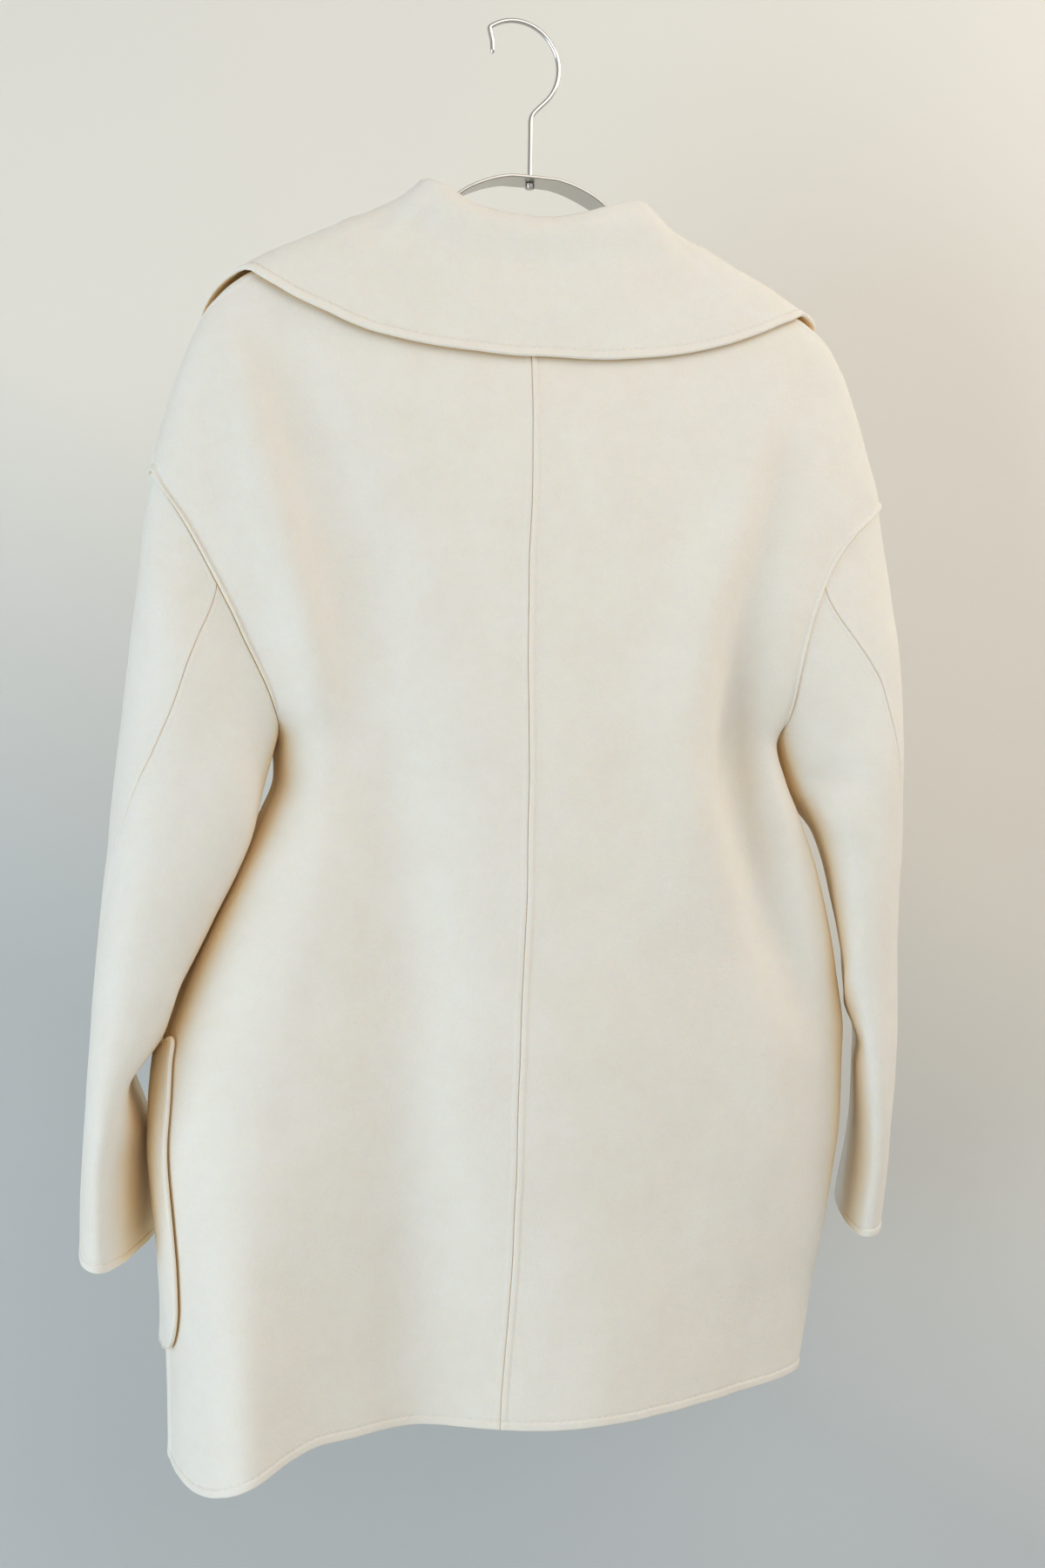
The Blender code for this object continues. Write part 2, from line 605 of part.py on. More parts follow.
def pocket_edges(side, down, inset=0.0):
    """Where the pocket starts and ends round the side seam, by the share of its height."""
    behind = smooth_curve(*zip(*POCKET_BEHIND[side]), down)
    return inset - behind, POCKET_AHEAD[side] - inset


def pocket_grid(side, back_panel, front_panel):
    """Rows, and columns for each row, of a patch on the body's own points round the side seam."""
    band = np.concatenate([back_panel, front_panel[:, -2::-1]], axis=1)
    seam = back_panel.shape[1] - 1
    heights = -band[:, seam, 2]
    top, bottom = np.interp([-POCKET_TOP, -POCKET_BOTTOM], heights, np.arange(len(band)))
    tall = POCKET_TOP - POCKET_BOTTOM
    row_step = (bottom - top) / tall
    angles = np.linspace(0.0, math.pi / 2.0, CORNER_CELLS + 1)
    corner = [POCKET_CORNER * (1.0 - math.cos(a)) for a in angles]
    rows = [top + d * row_step for d in corner + [tall - d for d in corner]]
    first, last = top + POCKET_CORNER * row_step, bottom - POCKET_CORNER * row_step
    rows += [r for r in range(int(first) + 1, int(last) + 1) if first + 0.25 < r < last - 0.25]
    rows = sorted(rows)
    across = length_along(band[int((top + bottom) / 2)])
    places = np.arange(len(across))
    widest = np.interp(across[seam] + np.array(pocket_edges(side, 0.6)), across, places)
    inner = np.arange(int(widest[0]) + 1, int(widest[1]) + 1, dtype=float)
    count = np.arange(len(inner))
    columns = []
    for row in rows:
        inset = pocket_inset(min(row - top, bottom - row) / row_step)
        edges = pocket_edges(side, (row - top) / (bottom - top), inset)
        start, end = np.interp(across[seam] + np.array(edges), across, places)
        low, high = start + EDGE_SPACE + LINE_SPACE * count, end - EDGE_SPACE - LINE_SPACE * count[::-1]
        columns.append(np.concatenate([[start], np.clip(inner, low, high), [end]]))
    return rows, columns, band


def triangles(grid):
    """Two triangles for each cell of a grid of points, split along the line that folds it least."""
    points = grid.reshape(-1, 3)
    index = np.arange(len(points)).reshape(grid.shape[:2])
    a, b, c, d = index[:-1, :-1], index[:-1, 1:], index[1:, 1:], index[1:, :-1]

    def evenness(pair):
        first, second = (unit(np.cross(points[q] - points[p], points[r] - points[p])) for p, q, r in pair)
        return (first * second).sum(axis=-1)

    falling, rising = ((a, b, c), (a, c, d)), ((a, b, d), (b, c, d))
    rises = (evenness(rising) > evenness(falling) + SPLIT_BIAS)[..., None]
    pairs = zip(rising, falling)
    return np.concatenate([np.where(rises, np.stack(u, -1), np.stack(v, -1)).reshape(-1, 3) for u, v in pairs])


def grid_normals(grid, turn):
    """Directions out of a grid of points; turn is -1 where its columns run the other way."""
    points, total = grid.reshape(-1, 3), np.zeros((grid.size // 3, 3))
    faces = triangles(grid)
    a, b, c = (points[faces[:, i]] for i in range(3))
    for i in range(3):
        np.add.at(total, faces[:, i], np.cross(b - a, c - a))
    return unit(turn * total).reshape(grid.shape)


def edge_lines(grid, values, start, end):
    """Adds the lines of an edge's profile beside the first and last column of a grid.

    values holds the normals and, last, the lift; start and end hold the profile, how much each
    row's edge is cut back and how much of its lift each row keeps.
    """
    def beside(first, second, profile, cut, keep):
        length = np.linalg.norm(second[0] - first[0], axis=-1)
        room = np.minimum(1.0, length / (1.25 * max(profile[-1][0], 1e-6)))
        points, lines = [], []
        for i, (distance, lift) in enumerate(profile):
            share = (distance * (cut if i == 0 else room) / length)[:, None]
            points.append(first[0] + (second[0] - first[0]) * share)
            line = first[1] + (second[1] - first[1]) * share
            line[:, 3] = np.maximum(line[:, 3], lift * keep)
            lines.append(line)
        return points, lines

    near = beside((grid[:, 0], values[:, 0]), (grid[:, 1], values[:, 1]), *start)
    far = beside((grid[:, -1], values[:, -1]), (grid[:, -2], values[:, -2]), *end)
    middle = [grid[:, i] for i in range(1, grid.shape[1] - 1)]
    middle_values = [values[:, i] for i in range(1, grid.shape[1] - 1)]
    points = np.stack(near[0] + middle + far[0][::-1], axis=1)
    return points, np.stack(near[1] + middle_values + far[1][::-1], axis=1)


def cloth_mesh(grid, normals, closeness, profiles, keeps):
    """Points of a cloth wall: a raised outer grid and the plain inner one behind it."""
    values = np.concatenate([normals, np.zeros(grid.shape[:2] + (1,))], axis=-1)
    cut = 1.0 / np.maximum(0.3, np.sqrt((1.0 + closeness) / 2.0))
    keep = smooth_step((closeness + FOLD_BACK) / 0.5)
    first, last = (profiles[2], cut[:, 0], keep[:, 0]), (profiles[3], cut[:, -1], keep[:, -1])
    top_cut, top_keep = cut[0], keep[0] * keeps
    wide, wide_values = edge_lines(grid, values, first, last)
    index = np.clip(np.arange(wide.shape[1]) - len(profiles[2]) + 1, 0, grid.shape[1] - 1)
    top = (profiles[0], top_cut[index], top_keep[index])
    bottom = (profiles[1], np.ones(wide.shape[1]), np.ones(wide.shape[1]))
    tall, tall_values = edge_lines(wide.swapaxes(0, 1), wide_values.swapaxes(0, 1), top, bottom)
    tall, tall_values = tall.swapaxes(0, 1), tall_values.swapaxes(0, 1)
    out = unit(tall_values[..., :3])
    return tall + out * tall_values[..., 3:], tall - out * CLOTH


def wall_faces(points, rows, columns, turn):
    """Triangles of a closed wall between an outer and an inner grid of the same size.

    The rim's faces are split the same way on both sides of a seam.
    """
    count = rows * columns
    index = np.arange(count).reshape(rows, columns)
    outer = triangles(points[:count].reshape(rows, columns, 3))
    faces = [*outer[:, ::turn], *(outer + count)[:, ::-turn]]
    rim = np.concatenate([index[0], index[1:, -1], index[-1, -2::-1], index[-2:0:-1, 0]])
    for a, b in zip(rim, np.roll(rim, -1)):
        quad = (a, a + count, b + count, b)
        rise = points[a] - points[b]
        highest_first = rise[2] > 0 if abs(rise[2]) > 2.0 else rise[0] > 0
        quad = quad if highest_first else quad[1:] + quad[:1]
        faces += [quad[:3][::turn], (quad[0], quad[2], quad[3])[::turn]]
    return faces


def point_key(point):
    return tuple(float(v) + 0.0 for v in np.round(point, 3))


def share_normals(pieces):
    """Gives sewn pieces one direction at the points they share, where they lie nearly in line."""
    found = {}
    for name, piece in pieces.items():
        rows, columns = piece["grid"].shape[:2]
        for r in range(rows):
            for c in range(columns):
                if r in (0, rows - 1) or c in (0, columns - 1):
                    found.setdefault(point_key(piece["grid"][r, c]), {})[name] = piece["normals"][r, c]
    for name, piece in pieces.items():
        rows, columns = piece["grid"].shape[:2]
        closeness, joined = np.ones((rows, columns)), piece["normals"].copy()
        for r in range(rows):
            for c in range(columns):
                others = found.get(point_key(piece["grid"][r, c]), {})
                if len(others) < 2 or not (r in (0, rows - 1) or c in (0, columns - 1)):
                    continue
                own = piece["normals"][r, c]
                rest = [v for key, v in others.items() if key != name]
                angles = [float(own @ v) for v in rest]
                closeness[r, c] = min(angles)
                in_line = [smooth_step((angle + FOLD_BACK) / 0.5) for angle in angles]
                joined[r, c] = unit(own + sum(w * v for w, v in zip(in_line, rest)))
        piece["closeness"], piece["joined"] = closeness, joined


def make_material(name, finish):
    colour, roughness, metallic = COLOURS[finish]
    material = bpy.data.materials.new(f"{finish} of {name}")
    material.use_nodes = True
    shader = material.node_tree.nodes["Principled BSDF"]
    shader.inputs["Base Color"].default_value = (*colour, 1.0)
    shader.inputs["Roughness"].default_value = roughness
    shader.inputs["Metallic"].default_value = metallic
    material.diffuse_color = (*colour, 1.0)
    return material


def add_object(name, points, faces, finish):
    mesh = bpy.data.meshes.new(name)
    corners = [tuple(float(v) * MM for v in p) for p in points]
    mesh.from_pydata(corners, [], [tuple(map(int, f)) for f in faces])
    mesh.materials.append(make_material(name, finish))
    mesh.shade_smooth()
    mesh.set_sharp_from_angle(angle=math.radians(40))
    item = bpy.data.objects.new(name, mesh)
    bpy.context.scene.collection.objects.link(item)
    return item


def add_cloth(name, piece):
    outer, inner = cloth_mesh(
        piece["grid"], piece["joined"], piece["closeness"], piece["profiles"], piece["top_keeps"]
    )
    rows, columns = outer.shape[:2]
    points = np.concatenate([outer.reshape(-1, 3), inner.reshape(-1, 3)])
    add_object(name, points, wall_faces(points, rows, columns, piece["turn"]), "wool")


def on_shoulder(grid):
    """1 for the columns whose top is in the shoulder seam, 0 for those whose top is in the neckline."""
    columns = grid.shape[1]
    return (np.arange(columns) >= columns - 1 - SHOULDER_CELLS) * 1.0


def cloth_pieces():
    """The outer face of each sewn piece, with its edges' profiles (top, bottom, first, last)."""
    pieces = {}

    def add(name, grid, turn, profiles, top_keeps=1.0):
        keeps = np.broadcast_to(top_keeps, grid.shape[1])
        pieces[name] = {
            "grid": grid,
            "normals": grid_normals(grid, turn),
            "turn": turn,
            "profiles": profiles,
            "top_keeps": keeps,
        }

    for side, word in ((1, "left"), (-1, "right")):
        back = panel(side, False)
        front = panel(side, True, back)
        add(f"back_{word}", back, side, (SEAM, EDGE, SEAM, SEAM), on_shoulder(back))
        add(f"front_{word}", front, -side, (SEAM, EDGE, EDGE, SEAM), on_shoulder(front))
        for part, grid in sleeve(side, back, front).items():
            add(f"sleeve_{word}_{part}", grid, -side, (SEAM, EDGE, SEAM, SEAM))
    share_normals(pieces)
    for side, word in ((1, "left"), (-1, "right")):
        back, front = pieces[f"back_{word}"], pieces[f"front_{word}"]
        rows, columns, band = pocket_grid(side, back["grid"], front["grid"])
        normals = np.concatenate([back["joined"], front["joined"][:, -2::-1]], axis=1)
        out = unit(grid_at(normals, rows, columns))
        add(f"pocket_{word}", grid_at(band, rows, columns) + out * (POCKET_OFF[side] + CLOTH), side, (EDGE,) * 4)
        pieces[f"pocket_{word}"]["normals"] = out
    add("collar", collar(pieces), 1, (PLAIN, EDGE, EDGE, EDGE))
    for name in ("pocket_left", "pocket_right", "collar"):
        pieces[name]["joined"] = pieces[name]["normals"]
        pieces[name]["closeness"] = np.ones(pieces[name]["grid"].shape[:2])
    return pieces


def sweep(name, path, section, finish):
    """A closed bar along points in the hanger's plane; section gives offsets across it and along Y."""
    path, rings = np.asarray(path, float), []
    heading = unit(np.gradient(path, axis=0))
    for i, (x, z) in enumerate(path):
        normal = (-heading[i, 1], heading[i, 0])
        rings += [(x + normal[0] * a, y, z + normal[1] * a) for a, y in section(i)]
    sides, faces = len(section(0)), []
    for i in range(len(path) - 1):
        for j in range(sides):
            k = (j + 1) % sides
            a, b, c, d = i * sides + j, i * sides + k, (i + 1) * sides + k, (i + 1) * sides + j
            faces += [(a, b, c), (a, c, d)]
    end = (len(path) - 1) * sides
    faces += [(0, j + 1, j) for j in range(1, sides - 1)]
    faces += [(end, end + j, end + j + 1) for j in range(1, sides - 1)]
    return add_object(name, rings, faces, finish)


def round_section(radius, sides):
    angles = [-2.0 * math.pi * (j + 0.5) / sides for j in range(sides)]
    return [(radius * math.cos(a), radius * math.sin(a)) for a in angles]


def hook_path():
    """From the tip over the top and down to the stem's foot, as X and Z of the rod's middle."""
    cx, cz = HOOK_CENTRE
    path = [(18.5, -22.5), (18.5, -14.0)]
    for angle in np.linspace(math.radians(50.0), math.radians(226.0), 20):
        path.append((cx + HOOK_RADIUS * math.cos(angle), cz + HOOK_RADIUS * math.sin(angle)))
    path += [(-15.2, -56.2), (-11.6, -60.2), (STEM_X, -65.0), (STEM_X, -85.0), (STEM_X, STEM_END)]
    return path


def add_hanger():
    rod = round_section(ROD / 2.0, 8)
    sweep("hanger_hook", hook_path(), lambda i: rod, "bright steel")
    out = np.linspace(-STRIP[-1][0], STRIP[-1][0], 2 * STRIP_STEPS + 1)
    z = column(STRIP, STRIP_COLUMNS, "z", np.abs(out))
    width = column(STRIP, STRIP_COLUMNS, "half_width", np.abs(out))
    half = STRIP_THICKNESS / 2.0

    def strip(i):
        return [(-half, -width[i]), (half, -width[i]), (half, width[i]), (-half, width[i])][::-1]

    sweep("hanger_bar", np.stack([STEM_X + out, z], axis=-1), strip, "satin steel")
    screw = round_section(SCREW_RADIUS, 10)
    top = STRIP[0][1] - half - SCREW_GAP
    sweep("hanger_screw", [(STEM_X, top - SCREW_LENGTH), (STEM_X, top)], lambda i: screw, "satin steel")


def main():
    for item in list(bpy.data.objects):
        bpy.data.objects.remove(item, do_unlink=True)
    for name, piece in cloth_pieces().items():
        add_cloth(name, piece)
    add_hanger()


main()
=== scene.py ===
"""The finish of a short felted-wool coat on a bent steel hanger.

Each sewn piece is a fine cloth wall in the form of its solid in the frame, with soft creases, pressed
seams and turned edges. Lengths are in millimetres and are turned into metres where a mesh is made.
+Z is up, +X is the wearer's left, the front faces -Y, and the origin is the inside top of the hook.
"""

import math

import bpy
import numpy as np
from mathutils import Matrix


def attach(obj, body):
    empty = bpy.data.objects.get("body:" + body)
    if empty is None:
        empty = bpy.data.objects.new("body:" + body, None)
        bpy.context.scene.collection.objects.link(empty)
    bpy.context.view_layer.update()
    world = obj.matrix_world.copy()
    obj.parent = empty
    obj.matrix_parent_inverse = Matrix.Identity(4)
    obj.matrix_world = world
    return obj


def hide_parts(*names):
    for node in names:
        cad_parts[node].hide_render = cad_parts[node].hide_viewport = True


MM = 0.001

# Cloth, seams and the places of the main pieces
CLOTH = 2.5  # thickness of the felted cloth
WELT_WIDTH = 3.0  # half of a raised seam, on each side of its gap
WELT_RISE = 0.9
WELT_SLOPE = 1.8  # beyond its width, it falls off over this distance
EDGE_WIDTH = 5.0  # the turned edge at the hem, the cuffs and the collar
EDGE_RISE = 0.6
EDGE_SLOPE = 1.8
COAT_CENTRE = -10.0  # X of the coat's middle: it hangs below the hanger's stem
ARMHOLE_TOP = -320.0
UNDERARM = {1: -494.0, -1: -495.0}
NECK_POINT = (80.0, -137.0)  # where the neckline crosses the shoulder: across, z
NECK_BACK_DROP = 26.0
NECK_BACK_BEND = 2.5
NECK_FRONT = (34.0, -302.0)  # where the front neckline ends beside the middle: across, z
EVEN_AT = -440.0  # at this height a panel's columns are evenly spaced
HEM_LIKE_AT = -760.0  # and from here down they keep their shares of the hem
OVERLAP = 34.0  # one front lies over the other this far past the middle
LAYER = 1.9  # each overlapping front stands this far off the middle layer
LAYER_ENDS = (40.0, 75.0)  # and comes back to it between these distances from the middle
SEAM_SET_BACK = 15.0  # the shoulder seam lies this far behind the crest
SET_BACK_RUN = (30.0, -190.0, -230.0)  # moving back over this width and forward between these heights

# The body's level sections: half width on the left and right, depth of back and front, and how
# round each corner is (0.3 is a flat panel with tight corners, 1 is an ellipse)
BODY_COLUMNS = ("z", "left", "right", "back", "front", "round_left", "round_right", "round_front")
BODY = (
    (-130, 64, 64, 18, 18, 0.36, 0.36, 0.36),
    (-137, 80, 80, 20, 20, 0.36, 0.36, 0.36),
    (-166, 150, 150, 25, 24, 0.38, 0.38, 0.38),
    (-184, 191, 191, 29, 28, 0.40, 0.40, 0.40),
    (-192, 204, 205, 31, 30, 0.42, 0.42, 0.42),
    (-202, 215, 217, 34, 32, 0.44, 0.44, 0.44),
    (-222, 228, 232, 38, 36, 0.46, 0.46, 0.46),
    (-254, 241, 246, 44, 41, 0.50, 0.50, 0.50),
    (-285, 250, 257, 48, 45, 0.54, 0.54, 0.54),
    (-320, 258, 267, 52, 49, 0.58, 0.58, 0.58),
    (-350, 258, 264, 55, 51, 0.60, 0.60, 0.60),
    (-390, 247, 250, 59, 54, 0.60, 0.62, 0.62),
    (-440, 220, 226, 63, 58, 0.60, 0.62, 0.62),
    (-475, 194, 200, 66, 60, 0.60, 0.62, 0.62),
    (-495, 175, 188, 68, 62, 0.60, 0.62, 0.62),
    (-520, 173, 194, 70, 64, 0.60, 0.60, 0.62),
    (-545, 182, 204, 72, 66, 0.58, 0.57, 0.64),
    (-585, 202, 218, 75, 69, 0.56, 0.56, 0.66),
    (-655, 233, 235, 79, 74, 0.56, 0.64, 0.70),
    (-710, 249, 244, 83, 79, 0.56, 0.74, 0.72),
    (-760, 252, 245, 85, 83, 0.56, 0.82, 0.74),
    (-840, 245, 236, 87, 88, 0.54, 0.92, 0.78),
    (-900, 243, 224, 90, 92, 0.50, 1.00, 0.82),
    (-965, 241, 214, 92, 96, 0.50, 1.00, 0.86),
)

# The centre back seam's distance to the left of the coat's middle
CENTRE_BACK_COLUMNS = ("z", "across")
CENTRE_BACK = ((-160, 9), (-240, 11), (-400, 15), (-640, 22), (-965, 34))

# The hem's height by how far round it is: -2 and 2 are centre front, -1 and 1 the side seams
HEM_COLUMNS = ("round", "z")
HEM = (
    (-2.2, -955), (-1.5, -953), (-1.0, -950), (-0.6, -947), (0.0, -948), (0.35, -949),
    (0.6, -963), (0.85, -977), (1.0, -977), (1.5, -962), (2.2, -955),
)

# The armhole seam, as seen from behind or from the front
ARMHOLE_COLUMNS = ("z", "left", "right")
ARMHOLE = (
    (-320, 258, 267),
    (-330, 253.5, 255),
    (-345, 244, 239),
    (-385, 221, 214),
    (-427, 200, 201),
    (-470, 181, 193),
    (-494, 175, 188.5),
    (-502, 174.5, 188),
)

# Soft folds: where each one runs down the cloth, how far it stands out (or in) and its half width
FOLD_COLUMNS = ("z", "across", "rise", "half_width")
BACK_FOLDS = {
    "left shoulder ridge": (
        (-215, 222, 0, 12),
        (-260, 207, 5, 16),
        (-350, 186, 7, 18),
        (-455, 158, 5, 16),
        (-560, 150, 0, 20),
    ),
    "left shoulder trough": (
        (-215, 196, 0, 20),
        (-300, 165, -6, 26),
        (-400, 132, -9, 32),
        (-560, 100, -9, 38),
        (-700, 92, 0, 40),
    ),
    "left hem trough": ((-480, 100, 0, 40), (-700, 96, -14, 42), (-965, 86, -33, 44)),
    "left corner": ((-600, 205, 0, 30), (-760, 212, 10, 36), (-965, 216, 42, 40)),
    "centre ridge": ((-300, 30, 0, 60), (-600, 0, 4, 60), (-965, -40, 8, 60)),
    "right shoulder ridge": (
        (-215, -190, 0, 14),
        (-330, -142, 5, 22),
        (-500, -100, 9, 30),
        (-640, -110, 0, 40),
    ),
    "right trough": (
        (-225, -202, 0, 12),
        (-330, -168, -8, 16),
        (-440, -146, -20, 20),
        (-515, -148, -31, 22),
        (-600, -166, -24, 24),
        (-715, -212, 0, 26),
    ),
}
FRONT_FOLDS = {
    "left trough": ((-400, 120, 0, 26), (-640, 112, -14, 34), (-965, 104, -26, 42)),
    "left ridge": ((-520, 190, 0, 26), (-760, 196, 8, 32), (-965, 200, 18, 38)),
    "right trough": ((-380, -128, 0, 24), (-600, -122, -16, 32), (-965, -116, -22, 40)),
    "right ridge": ((-560, -186, 0, 26), (-780, -178, 7, 30), (-965, -172, 14, 36)),
}
FOLD_FADE = 8  # folds flatten out near the side seams; a higher power keeps them closer to the seam

# Sleeve sections, from the armhole to the cuff: the outer and inner edges seen from behind, half
# the depth from front to back, how far the middle lies behind the hook, how far the back edge leans
# outward for each millimetre of depth, and how far the inner side leans beyond that
SLEEVE_COLUMNS = (
    "ring", "outer", "z_outer", "inner", "z_inner", "depth", "middle", "lean", "inner_lean",
)
SLEEVES = {
    1: (
        (0, 258, -320, 175, -495, 42, 0, 0.00, 0.00),
        (1, 266, -390, 182, -524, 52, 0, 0.02, -0.03),
        (2, 274, -470, 194, -562, 60, 0, 0.05, -0.18),
        (3, 283, -555, 223, -622, 65, -3, 0.08, -0.22),
        (4, 290, -640, 252, -684, 68, -6, 0.10, -0.18),
        (5, 295, -715, 263, -728, 70, -10, 0.10, 0.05),
        (6, 297, -776, 257, -780, 68, -18, 0.08, 0.28),
        (7, 298, -838, 255, -840, 66, -28, 0.06, 0.30),
    ),
    -1: (
        (0, 267, -320, 188, -495, 42, 0, 0.00, 0.00),
        (1, 279, -390, 200, -528, 50, 0, -0.05, -0.02),
        (2, 286, -470, 224, -560, 58, 0, -0.15, -0.20),
        (3, 292, -560, 241, -612, 64, -3, -0.30, -0.16),
        (4, 294, -640, 255, -672, 68, -6, -0.42, -0.08),
        (5, 297, -715, 263, -715, 70, -8, -0.45, 0.00),
        (6, 295, -782, 267, -785, 70, -12, -0.45, 0.08),
        (7, 293, -848, 263, -848, 68, -20, -0.45, 0.10),
    ),
}
SLEEVE_TWIST = 0.17  # of a turn: the sleeve's back seam winds to its outer edge
SLEEVE_TWIST_RUN = (0.9, 4.2)  # the rings where the twist starts and ends
SLEEVE_SQUARENESS = 0.8  # 1 is an oval section; a lower power is flatter on its sides
SLEEVE_BLEND = 1.3  # the armhole's own shape fades out by this ring

# The collar, from the centre back (0) to its front end (10): its place along the neckline and its
# outer edge (both 0 centre back, 1 shoulder, 2 front), the height of its stand, and how far the
# fall stands off the coat near the roll and at the edge
COLLAR_COLUMNS = ("station", "neck", "edge", "edge_z", "stand", "off_roll", "off_edge")
COLLAR = (
    (0, 0.00, 0.000, -236.5, 21, 6.0, 5.5),
    (1, 0.30, 0.120, -235.5, 21, 6.0, 5.5),
    (2, 0.58, 0.290, -228.5, 21, 6.5, 5.5),
    (3, 0.82, 0.470, -213, 18, 9.0, 6.0),
    (4, 0.94, 0.690, -197, 13, 12.5, 6.0),
    (4.5, 0.98, 0.860, -191, 11, 13.5, 6.2),
    (5, 1.00, 1.000, -199, 10, 13.5, 6.2),
    (6, 1.07, 1.220, -245, 10, 12.0, 6.5),
    (7, 1.25, 1.390, -305, 10, 9.0, 6.5),
    (8, 1.48, 1.558, -352, 9, 7.5, 6.5),
    (9, 1.72, 1.724, -378, 7, 7.0, 6.5),
    (10, 1.95, 1.885, -384, 5, 7.0, 6.5),
)
ROLL_RADIUS = 4.0
STAND_LEAN = 1.5
COLLAR_GAP = 0.85  # above the neckline, whose points it doesn't share
COLLAR_FRONT_GAP = 1.3  # more than that in front
COLLAR_GAP_RUN = 0.8  # stations in which the gap grows, about the shoulder
FALL_PLACES = (0.14, 0.34, 0.56, 0.78, 1.0)  # rows of the fall, from the roll (0) to the edge (1)
SHOULDER_STATION = 5.0
FRONT_TURN = 3.0  # stations past the shoulder in which the stand turns to lie on the front
FRONT_SLANT = 0.15  # how far it then also slants down

# The patch pockets, which lap round the side seams
POCKET_TOP = -690.0
POCKET_BOTTOM = -898.0
POCKET_BEHIND = {  # from the side seam to the pocket's back edge, from its top (0) to its bottom (1)
    1: ((0.0, 28), (0.4, 49), (0.75, 50), (1.0, 46)),
    -1: ((0.0, -4), (1.0, -4)),
}
POCKET_AHEAD = {1: 145.0, -1: 190.0}
POCKET_CORNER = 24.0
POCKET_OFF = {1: 1.7, -1: 2.1}  # clear of the seam's welt and of the folds behind it
POCKET_GAPE = 1.5  # the pocket's mouth stands off this much more
GAPE_DEPTH = 30.0  # and closes over about this distance down

# The hanger: a bent rod for the hook, and a sheet strip under the shoulders
ROD = 3.5
HOOK_CENTRE = (1.7, -29.25)
HOOK_RADIUS = 31.0
HOOK_ARC = (50.0, 226.0)  # the bend's first and last angle, in degrees from +X
ARC_STEPS = 60
HOOK_TIP = ((18.5, -22.5), (18.5, -18.0), (18.8, -14.0), (19.9, -9.5))  # X and Z before the bend
HOOK_NECK = ((-17.6, -53.8), (-15.0, -56.4), (-12.6, -58.9), (-10.9, -61.2), (-9.9, -63.6))  # after it
HOOK_RINGS = 160
ROD_SIDES = 24
TIP_STEP = 0.6  # the rod's tip is rounded as if its rings were this far apart,
TIP_LENGTH = 1.75  # over this length,
TIP_LEAST = 0.15  # from this share of its section
STEM_X = -9.5
STEM = (-66.5, -70.0)  # heights of its first point and of the next, from which it is straight
STEM_END = -105.68
STEM_POINTS = 12
STRIP_COLUMNS = ("out", "z", "half_width")
STRIP = (
    (0, -107.0, 13.0),
    (15, -107.2, 13.0),
    (24, -108.8, 13.0),
    (34, -112.0, 13.0),
    (54, -123.0, 11.5),
    (60, -130.0, 10.4),
    (66, -140.8, 8.2),
    (72, -149.2, 7.2),
    (80, -152.8, 7.4),
    (95, -156.0, 8.5),
    (150, -175.2, 9.5),
    (191, -193.9, 9.0),
    (200, -199.4, 8.0),
    (203, -201.6, 6.0),
)
STRIP_THICKNESS = 2.0
STRIP_BEVEL = 0.5
STRIP_STEPS = 240
SCREW_LENGTH = 4.2
SCREW_GAP = 0.4
SCREW_SIDES = 32
SCREW_RINGS = (  # radius, and how far down from its top
    (3.0, 0.0),
    (3.4, 0.5),
    (3.4, SCREW_LENGTH - 1.2),
    (2.9, SCREW_LENGTH - 0.3),
    (1.4, SCREW_LENGTH),
)
SHARP = 35.0  # degrees: steel edges that turn by more are drawn sharp

# Grids of the cloth pieces. A crowd is a power: above 1, points lie closer together at the start
DENSE = 400  # points in a line before it is divided into cells
ROWS_CROWD = 1.25
COLUMN_CROWD = 2.5
NECK_CROWD = 1.5
NEAR_SIDE = 3  # rows take on the side seam's spacing by this power of how near the side they are
UNDERARM_DIP = 0.10  # they sink by this share beside the underarm, and so leave its corner evenly,
DIP_REACH = 0.36  # within about this share of the armhole's rows above and below it
ARMHOLE_CELLS = 42
SIDE_CELLS = 112
NECK_BACK_CELLS = 18
NECK_FRONT_CELLS = 22
FRONT_BASE_CELLS = 14
SHOULDER_CELLS = 54
SLEEVE_SPLIT = 18
SLEEVE_ROWS = 120
CREST_POINTS = 12
COLLAR_CELLS = 96
COLLAR_ROWS = 64
POCKET_ROWS = 60
POCKET_COLUMNS = 52
CORNER_ROWS = 12

# Places of the lines beside an edge, where the cloth is pressed, turned or rounded
EDGE_LINES = (0.03, 0.25, 0.5, 0.8, 1.2, 1.7, 2.4, 3.1, 3.8, 4.5, 5.2, 5.7, 6.2, 7.0, 8.4)
SHORT_ROW = 0.3  # they take up at most this share of a short row at each end
LEAST_SPACE = 0.02  # and never close up further than this share of their places
FAR = 99.0  # a distance from which an edge has no effect
ROUNDING = 1.3  # radius of a turned edge
BAND_GROOVE = (6.0, 0.45, 0.55)  # where the turned edge is sewn down: distance, depth, half width
SEAM_GROOVE = (0.9, 0.45)  # depth and half width of the groove in a seam
INNER_GROOVE = 0.3  # depth of the groove on the cloth's inner face, as a share of the outer one
GROOVE_KEEPS = (0.4, 1.3)  # grooves follow a welt's height only between these shares
LOW_SHARE = 0.35  # rise of a seam's lower side, as a share of its raised side
ARMHOLE_RIDGE = 2.5  # the body's side of the armhole seam stands this many times higher
RIDGE_END = 0.08  # and comes down over this share of the armhole, at the underarm
FOLD_BACK = 0.4  # pieces turned back on each other by more than this keep their own directions
FOLD_RUN = 0.5  # and from there on they share them more and more, over this much
STITCH = 5.0  # between hand stitches

